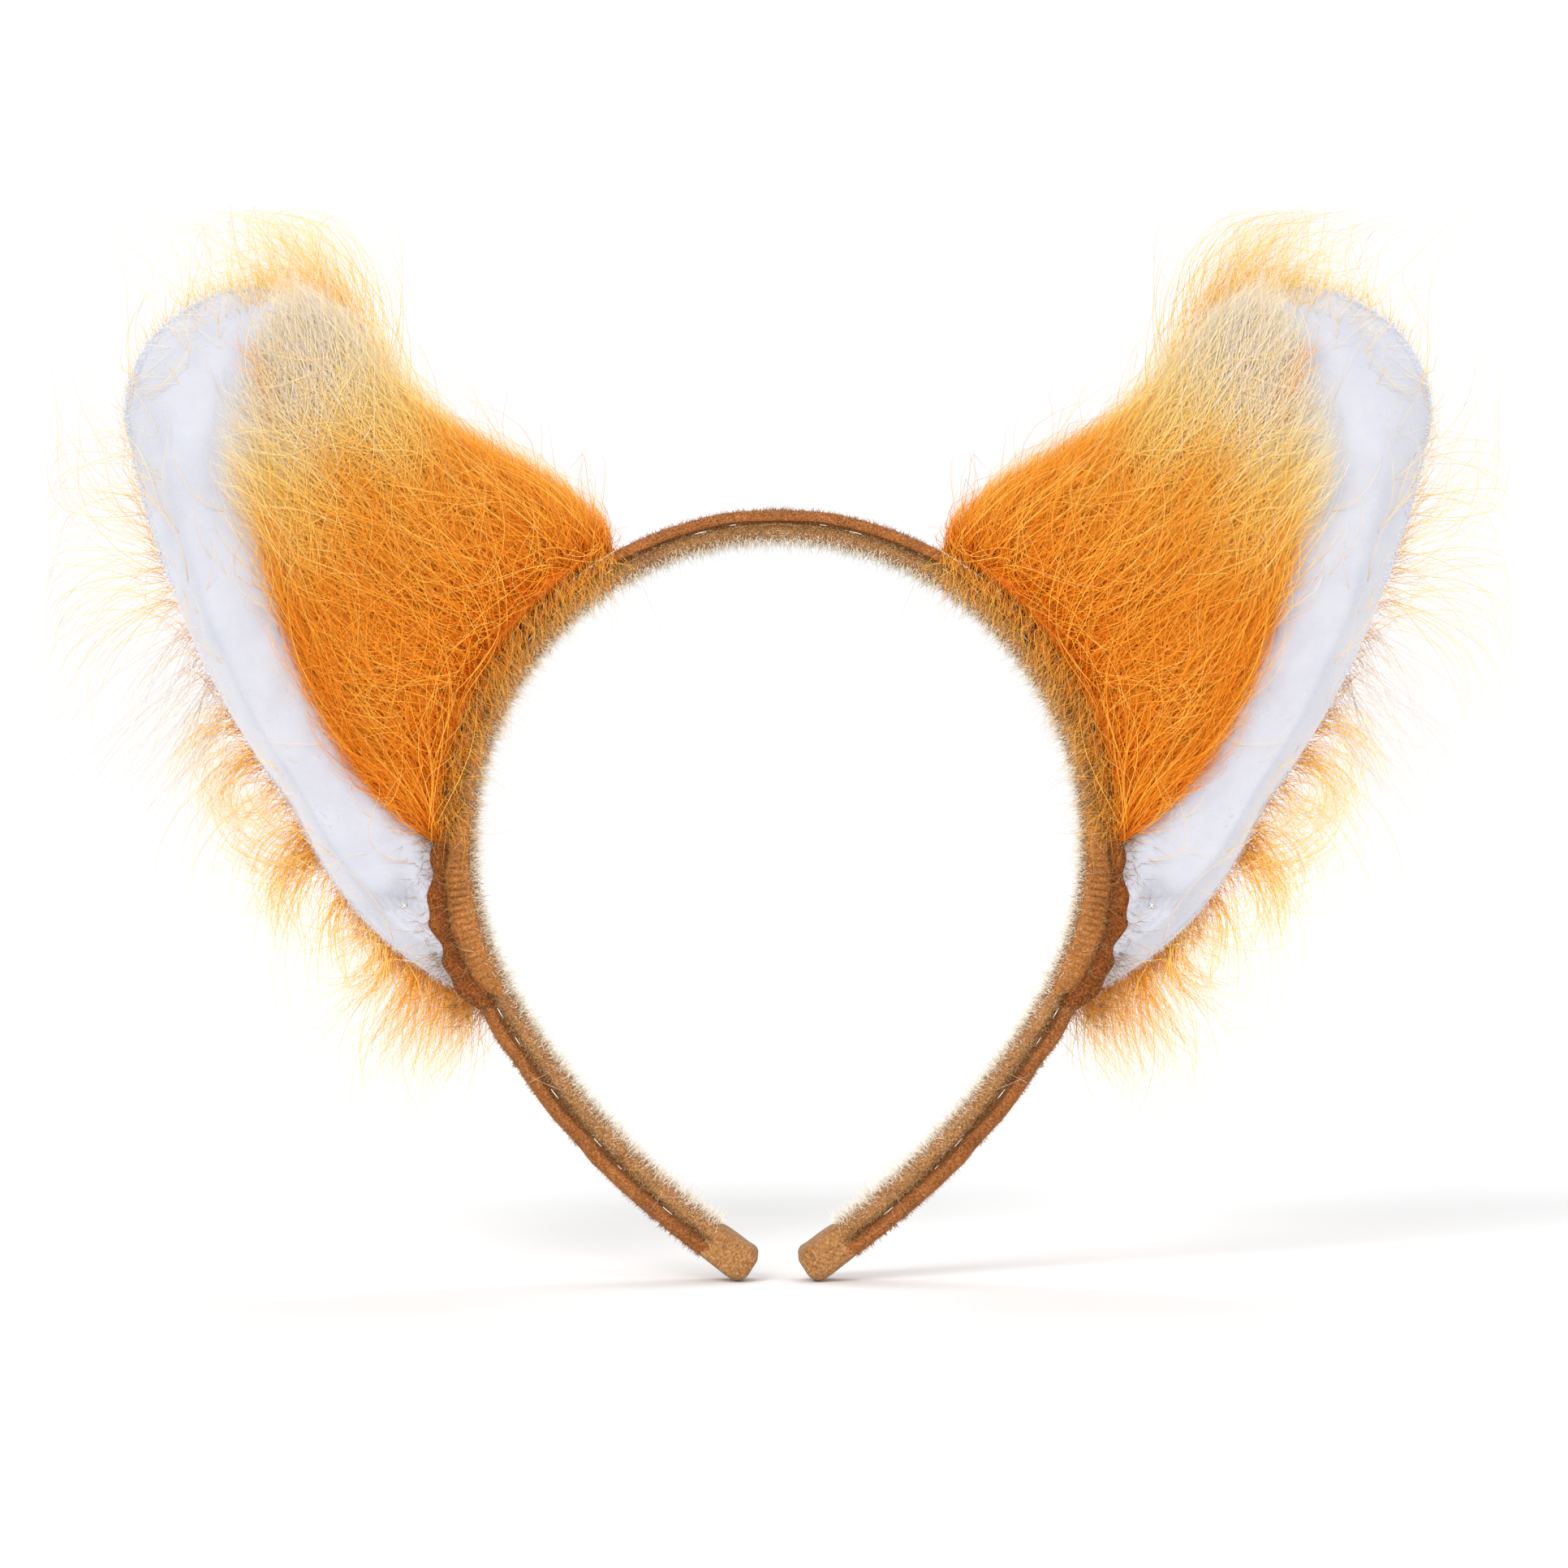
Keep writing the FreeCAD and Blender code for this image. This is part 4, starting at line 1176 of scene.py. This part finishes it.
def back_fur(random, count):
    """Pile of the whole back, kept short along the outer edge above the heel."""
    s, t = random.random(count), random.random(count) ** 1.25 * 0.985
    root = raised(WHOLE.at(s, t), 0.6 + 7.7 * roundness(s, t))
    flow = back_flow(root[:, :2])
    paths = strands(random, root, flow * 0.8 + [0, 0, 0.9], flow + [0, 0, -0.12], lean=(0.4, 0.26),
                    length=16 + 8 * smooth((root[:, 0] + 10) / 50), vary=(0.65, 1.25),
                    curl=(0.25, 0.45, 2), steps=6, calm=CALM)
    paths = clump(paths, 25, 0.5, random)
    low_side = s < 0.5
    heel = smooth((0.18 - t) / 0.08) * low_side
    middle = smooth((0.36 - t) / 0.06) * low_side
    crown_side = s > 0.75
    paths = trim(paths, 0.3 + 5 * heel + 1.0 * middle + 4 * crown_side)
    return paths, random.uniform(0.075, 0.115, count), fur_tone(paths, random)


def rim_fur(random, count):
    """Bright hairs that stand out from the crown edge."""
    t = random.random(count) ** 0.9 * 0.97
    root = raised(WHOLE.at(np.full(count, 0.985), t), random.uniform(-4, 4, count))
    along = np.array([0.92, 0.39, 0.0])
    away = np.array([-0.39, 0.92, 0.0])
    upper = smooth((t - 0.3) / 0.35)
    loose = (1 - upper)[:, None]
    paths = strands(random, root, along * 0.5 + away * 0.8 * loose, along + away * (0.26 * loose - 0.1),
                    lean=(0.25, 0.16), length=13 + 9 * smooth((root[:, 0] - 5) / 35), vary=(0.5, 1.3),
                    curl=(0.2, 0.35, 1), steps=7)
    paths = clump(paths, 14, 0.7, random)
    paths = trim(paths, (random.exponential(3.5, count) + 1.2) * (1 - 0.5 * upper))
    shade = (fur_tone(paths, random) + 0.26 + 0.2 * smooth((t - 0.4) / 0.3)).clip(0.48, 0.84)
    return paths, random.uniform(0.045, 0.075, count), shade


def foot_fur(random, count):
    """Short curly hairs where the fur meets the band."""
    angle = random.uniform(-15, 44, count)
    spot = base_point(random.uniform(66.5, 72.5, count), angle)
    root = raised(spot, random.uniform(-7, -4, count))
    inward = -lie_at(np.radians(angle))
    paths = strands(random, root, inward * 0.5 + [0, -0.1, -1.0], inward * 0.55 + [0.1, -0.75, -0.15],
                    lean=(0.3, 0.45), length=1, vary=(7, 17), curl=(0.15, 0.35, 1), steps=8, lift=1.0)
    shade = random.normal(0.35, 0.12, count)
    return paths, random.uniform(0.035, 0.055, count), shade


def fringe(random, count):
    """Long hairs from behind the outer edge: orange below, white and peach higher up."""
    t = random.beta(0.9, 1.9, count) * 0.75
    bundle = np.sin(95 * t + 1.3) + 0.7 * np.sin(47 * t + 0.4)
    full = np.clip(0.8 - 4.2 * t, 0.06, 1)
    t = t[random.random(count) < full + 0.3 * (bundle > 0.6)]
    count = len(t)
    root = raised(WHOLE.at(np.full(count, 0.03), t), random.uniform(1, 8, count))
    flow = lie_at(np.radians(-84 + 92 * smooth(t / 0.7)))
    paths = strands(random, root, flow * 0.9 + [0, 0, 0.35], flow * 0.7 + [-0.1, -0.3, -0.1],
                    lean=(0.45, 0.45), length=16 + 15 * np.sin(math.pi * t.clip(0.12, 1)) ** 2,
                    vary=(0.4, 1.35), curl=(0.45, 0.75, 1), steps=10, lift=1.0)
    paths = clump(paths, 30, 0.6, random)
    heel = 1 - smooth((t - 0.04) / 0.12)
    white = smooth((t - 0.28) / 0.1)
    # partly painted light: the tones are set lighter than the hairs' own colour, for light shining through
    # them in the shadow behind the outer edge
    shade = 0.58 - 0.2 * heel + random.normal(0, 0.08, count)
    shade = shade * (1 - white) + white * random.normal(0.97, 0.05, count)
    return paths, random.uniform(0.035, 0.06, count), shade


def lock(root, spread, heading, length, turn, count, random):
    """A bundle of strands from around `root`, turning by `turn` radians on its way."""
    steps = 10
    start = np.array(root) + random.normal(0, 1, (count, 3)) * spread
    share = np.linspace(0, 1, steps - 1)
    bend = np.degrees(turn) * random.uniform(0.5, 1.4, (count, 1)) * share[None] ** 1.2
    angle = np.radians(heading + random.normal(0, 17, (count, 1)) + bend)
    step = (length * random.uniform(0.7, 1.15, count) / (steps - 1))[:, None]
    sway = random.normal(0, 0.10, (count, steps - 1)) - 0.12 * np.sign(root[2])
    moves = np.stack([np.cos(angle) * step, np.sin(angle) * step, sway * step + 0 * angle], -1)
    strand = np.concatenate([start[:, None], start[:, None] + np.cumsum(moves, 1)], 1)
    return clump(strand, 30, 0.75, random)


def all_locks(rows, random, tone_spread, radius):
    """Strands of many locks: (root, spread, heading, length, turn, tone, hairs) for each."""
    paths, shades = [], []
    for root, spread, heading, length, turn, tone, hairs in rows:
        paths.append(lock(root, spread, heading, length, turn, hairs, random))
        shades.append(tone + random.normal(0, tone_spread, hairs))
    paths = np.concatenate(paths)
    return paths, random.uniform(*radius, len(paths)), np.concatenate(shades)


def locks(random):
    """Curled locks that hang out below the flap, from places along its outer edge."""
    rows = []
    for place, heading, length, turn, tone, hairs, spread in (
            (0.00, -84, 25, 0.2, 0.58, 60, 2.5), (0.03, -100, 24, 0.4, 0.46, 60, 2.0),
            (0.07, -112, 27, 0.9, 0.38, 70, 1.6), (0.10, -100, 23, 1.2, 0.40, 60, 1.6),
            (0.13, -120, 30, 1.6, 0.62, 50, 2.0), (0.17, -88, 24, -0.9, 0.52, 50, 1.6),
            (0.22, -60, 30, -1.5, 0.50, 70, 1.2), (0.24, -48, 33, -2.6, 0.54, 60, 1.6),
            (0.29, -70, 26, 2.4, 0.70, 40, 2.4), (0.33, -30, 26, -2.2, 0.52, 70, 1.5),
            (0.05, -92, 38, 0.9, 0.66, 26, 4.0), (0.11, -104, 42, 1.5, 0.66, 26, 4.0),
            (0.20, -74, 42, -1.2, 0.66, 22, 4.0), (0.30, -54, 40, -1.9, 0.68, 22, 3.0),
            (0.37, -14, 23, -2.4, 0.54, 60, 1.5), (0.40, -78, 46, 0.5, 1.0, 30, 3.5),
            (0.44, -60, 48, -0.5, 1.0, 34, 3.5), (0.48, -70, 44, -0.9, 0.98, 30, 3.5),
            (0.51, -30, 46, -1.4, 0.70, 24, 4.0), (0.54, -6, 48, -1.6, 0.66, 24, 4.0),
            (0.57, 2, 46, 1.6, 0.64, 16, 4.0), (0.62, 4, 44, -1.9, 0.64, 12, 4.0),
            (0.21, -34, 36, 2.0, 0.56, 50, 2.4), (0.06, -74, 40, -1.2, 0.50, 40, 3.0)):
        root = [*WHOLE.at(0.03, place), 4.0]
        rows.append((root, [spread, spread, 1.5], heading, length, turn, tone, hairs))
    return all_locks(rows, random, 0.07, (0.05, 0.08))


def tip_wisps(random):
    """Long pale wisps that sweep over the tip and across the fleece."""
    spread, hairs = [3.6, 3.6, 0.8], 40
    rows = [(root, spread, heading, length, turn, tone, hairs) for root, heading, length, turn, tone in (
        ((38, 66, -5), 62, 40, -1.2, 0.60), ((33, 62, -6), 54, 44, -0.9, 0.56),
        ((28, 57, -6), 46, 46, -0.5, 0.54), ((42, 69, -6), 66, 36, -1.6, 0.58),
        ((46, 72, -5), 72, 32, -1.4, 0.64), ((22, 53, -6), 38, 34, 0.2, 0.52),
        ((30, 55, -8), 50, 44, -0.4, 0.56), ((38, 60, -9), 52, 42, -0.9, 0.58),
        ((52, 66, -9), 40, 30, 0.7, 0.70), ((56, 60, -9), 6, 30, -0.6, 0.68),
        ((50, 47, -9), 14, 34, -0.8, 0.66), ((46, 38, -9), 30, 30, 0.3, 0.74),
        ((42, 27, -9), 34, 30, 0.5, 0.78), ((58, 70, -8), 96, 22, -1.0, 0.72),
        ((43, 73, -5), 52, 44, -1.5, 0.54), ((40, 70, -6), 44, 48, -1.1, 0.56),
        ((47, 74, -4), 36, 46, -0.9, 0.60))]
    return all_locks(rows, random, 0.08, (0.055, 0.085))


def root_patch(random, count):
    """Short brown-orange hairs where the pile thins out near the tip."""
    share = random.normal(0, 1, (count, 1))
    root = np.array([50.5, 54.0, -14.0]) + share * [3.2, 3.8, 0]
    root = root + random.normal(0, 1, (count, 3)) * [1.2, 1.2, 0.3]
    flow = np.array([0.7, 0.7, -0.1])
    first = flow + random.normal(0, 0.4, (count, 3))
    lie = flow + random.normal(0, 0.3, (count, 3))
    paths = grow(root, first, lie, random.uniform(6, 13, count), 7, np.full(count, 0.4), random)
    return paths, random.uniform(0.045, 0.07, count), random.normal(0.30, 0.12, count)


def flyaways(random, count):
    """Stray long hairs over the fleece, around the tip and out to the side."""
    s, t = random.random(count) ** 1.2 * 0.7, random.random(count) ** 0.8 * 0.98
    spot = WHOLE.at(s, t)
    root = raised(spot, np.where(random.random(count) < 0.6, -8.5, 5.0))
    flow = 0.6 * front_flow(spot) + 0.4 * back_flow(spot)
    paths = strands(random, root, flow, flow * 0.8, lean=(0.4, 0.45), length=1, vary=(22, 46),
                    curl=(0.4, 0.6, 1), steps=11, lift=1.0, calm=CALM)
    paths = clump(paths, 9, 0.8, random)
    shade = 0.50 + 0.2 * random.random(count) + 0.08 * smooth((t - 0.5) / 0.4)
    return paths, random.uniform(0.045, 0.07, count), shade


def fleece_pile(random, count):
    """Short white pile over the flap, densest round its rolled edge."""
    s, t = random.random(count), random.random(count) * 0.99
    s = np.where(random.random(count) < 0.7, 0.06 * s, s)
    rise = roundness(s, t, FLAP_ROLL)
    root = raised(FLAP.at(s, t), flap_middle(s, t) - flap_half(s, t) * rise - 0.2 * rise)
    edge = (1 - rise)[:, None]
    away = unit(FLAP.at(0 * s, t) - FLAP.at(0.5 + 0 * s, t))
    first = np.concatenate([away * edge, -(1 - 0.5 * edge)], 1) + random.normal(0, 0.35, (count, 3))
    length = random.uniform(0.4, 1.0, count) * (1 + 0.5 * edge[:, 0])
    lie = first + random.normal(0, 0.5, (count, 3))
    paths = grow(root, first, lie, length, 3, np.full(count, 0.2), random)
    return paths, random.uniform(0.035, 0.06, count), random.random(count)


def base_tab(label, side):
    """Felt strip that joins the ear to the band inside the seam."""
    angle = np.linspace(-31, 31, 40)[:, None]
    turn = np.linspace(0, 2 * math.pi, 16, endpoint=False)[None]
    squareness = 0.4
    radius = FOOT_RADIUS + 0.6 + 1.7 * squared(np.cos(turn), squareness)
    spot = base_point(radius, angle + 0 * turn)
    depth = 0.8 * squared(np.sin(turn), squareness) + 0 * angle
    rings = ear_place(label, side, np.concatenate([spot, depth[..., None]], -1))
    piece = ring_solid(f"soft_base_tab_{label}", rings)
    settle(piece, "felt", "felt", ride_arm, label, side, f"base_tab_{label}")


def foot_stitches(label, side):
    """Slanted stitches that hold the foot of the ear to the band, front and back."""
    random = np.random.default_rng(171)
    angle = np.repeat(np.arange(-40, 41, 4.0), 2)
    face = np.tile([-1.0, 1.0], len(angle) // 2)
    share = np.linspace(0, 1, 7)[None]
    lean = random.uniform(0.8, 1.6, (len(angle), 1))
    spot = base_point(FOOT_RADIUS - 1.3 + 4.2 * share + 0 * lean, angle[:, None] + lean * share)
    depth = face[:, None] * (4.4 - 2.4 * (2 * share - 1) ** 4)
    paths = np.concatenate([spot, depth[..., None]], -1)
    piece = strand_mesh(f"soft_seam_stitches_{label}", ear_place(label, side, paths),
                        np.full(len(angle), 0.2 * MM), random.random(len(angle)), 6, 9)
    settle(piece, "thread", "thread", bend_with_ear, label, side, f"seam_stitches_{label}")


def tack_stitch(label, side):
    """Two crossed threads sunk in the dimple of the flap."""
    share = np.linspace(0, 1, 9)
    arcs = []
    for heading in (0.5, 1.9):
        reach = 1.8 * (share - 0.5)
        arcs.append(np.stack([TACK[0] + math.cos(heading) * reach, TACK[1] + math.sin(heading) * reach,
                              -5.9 + 0.8 * (2 * share - 1) ** 4], -1))
    piece = strand_mesh(f"soft_tack_stitch_{label}", ear_place(label, side, np.array(arcs)),
                        np.full(2, 0.11 * MM), np.array([0.3, 0.6]), 6, 9)
    settle(piece, "thread", "thread", bend_with_ear, label, side, f"tack_stitch_{label}")


# Layers of hair: name, maker, seed and number of strands (locks and wisps count their own).
FUR = {name: make(np.random.default_rng(seed), *count) for name, make, seed, *count in (
    ("under_pile", under_pile, 101, 11000), ("long_pile", long_pile, 102, 5200),
    ("guard_hairs", guard_hairs, 103, 1250), ("crossing_hairs", crossing_hairs, 104, 750),
    ("back_pile", back_fur, 111, 10500), ("rim_pile", rim_fur, 121, 2400),
    ("foot_pile", foot_fur, 126, 1000), ("fringe", fringe, 131, 2500), ("locks", locks, 141),
    ("tip_wisps", tip_wisps, 146), ("root_patch", root_patch, 148, 260),
    ("flyaways", flyaways, 151, 300), ("fleece_pile", fleece_pile, 161, 5000))}
FLEECE_PILE = FUR.pop("fleece_pile")

for label, side in SIDES.items():
    ear_body(label, side)
    base_tab(label, side)
    foot_stitches(label, side)
    tack_stitch(label, side)
    for name, (paths, radius, shade) in FUR.items():
        lay(name, label, side, paths, radius, shade)
    lay("fleece_pile", label, side, *FLEECE_PILE, "fleece_fuzz", "white_fleece")


# ---------------------------------------------------------------- stage

def make_stage():
    """Pale floor and soft light: the sky looks white, but lights the piece less."""
    low = VISUAL_BOX[0].z - 0.2 * MM
    half = 6.0
    corners = np.array([[-half, -half, low], [half, -half, low], [half, half, low], [-half, half, low]])
    floor = new_object("floor", mesh_from_arrays("floor", corners, np.arange(4), np.array([0])))
    n = Nodes("floor")
    tone = n.ramp(n.noise(n.space_place(), 0.4), (0.3, (0.90, 0.90, 0.90)), (0.7, (0.93, 0.93, 0.93)))
    floor.data.materials.append(n.finish(tone, 0.9))
    world = bpy.data.worlds.new("studio")
    bpy.context.scene.world = world
    world.use_nodes = True
    tree = world.node_tree
    back = tree.nodes["Background"]
    back.inputs["Color"].default_value = (1.0, 1.0, 1.0, 1)
    path = tree.nodes.new("ShaderNodeLightPath")
    strength = tree.nodes.new("ShaderNodeMapRange")
    strength.inputs["To Min"].default_value = 0.58
    strength.inputs["To Max"].default_value = 1.02
    tree.links.new(path.outputs["Is Camera Ray"], strength.inputs["Value"])
    tree.links.new(strength.outputs["Result"], back.inputs["Strength"])
    lamp("key", (-0.35, -1.0, 0.55), 25, 2.2)
    lamp("fill", (0.45, -1.0, 0.35), 45, 1.25)
    lamp("back", (0.1, 0.9, 1.1), 50, 0.9)


def lamp(name, spot, spread, power):
    """Far soft light: `spread` is its apparent size in degrees."""
    light = bpy.data.lights.new(name, "SUN")
    light.angle = math.radians(spread)
    light.energy = power
    lamp_object = new_object(name, light)
    lamp_object.location = spot
    aim(lamp_object, (0, 0, 0.02))


def aim(thing, target):
    direction = np.array(target) - np.array(thing.location)
    thing.rotation_euler = Vector(direction).to_track_quat("-Z", "Y").to_euler()


def make_camera():
    """Long lens, square on to the front."""
    distance = 1.3
    view_width = 0.3188
    centre = (1.2 * MM, 0, 12.2 * MM)
    data = bpy.data.cameras.new("camera")
    data.sensor_width = 36
    data.lens = data.sensor_width * distance / view_width
    camera = new_object("camera", data)
    camera.location = (centre[0], -distance, centre[2])
    aim(camera, centre)
    bpy.context.scene.camera = camera
    bpy.context.scene.view_settings.view_transform = "Standard"


VISUAL_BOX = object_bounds()
make_stage()
make_camera()
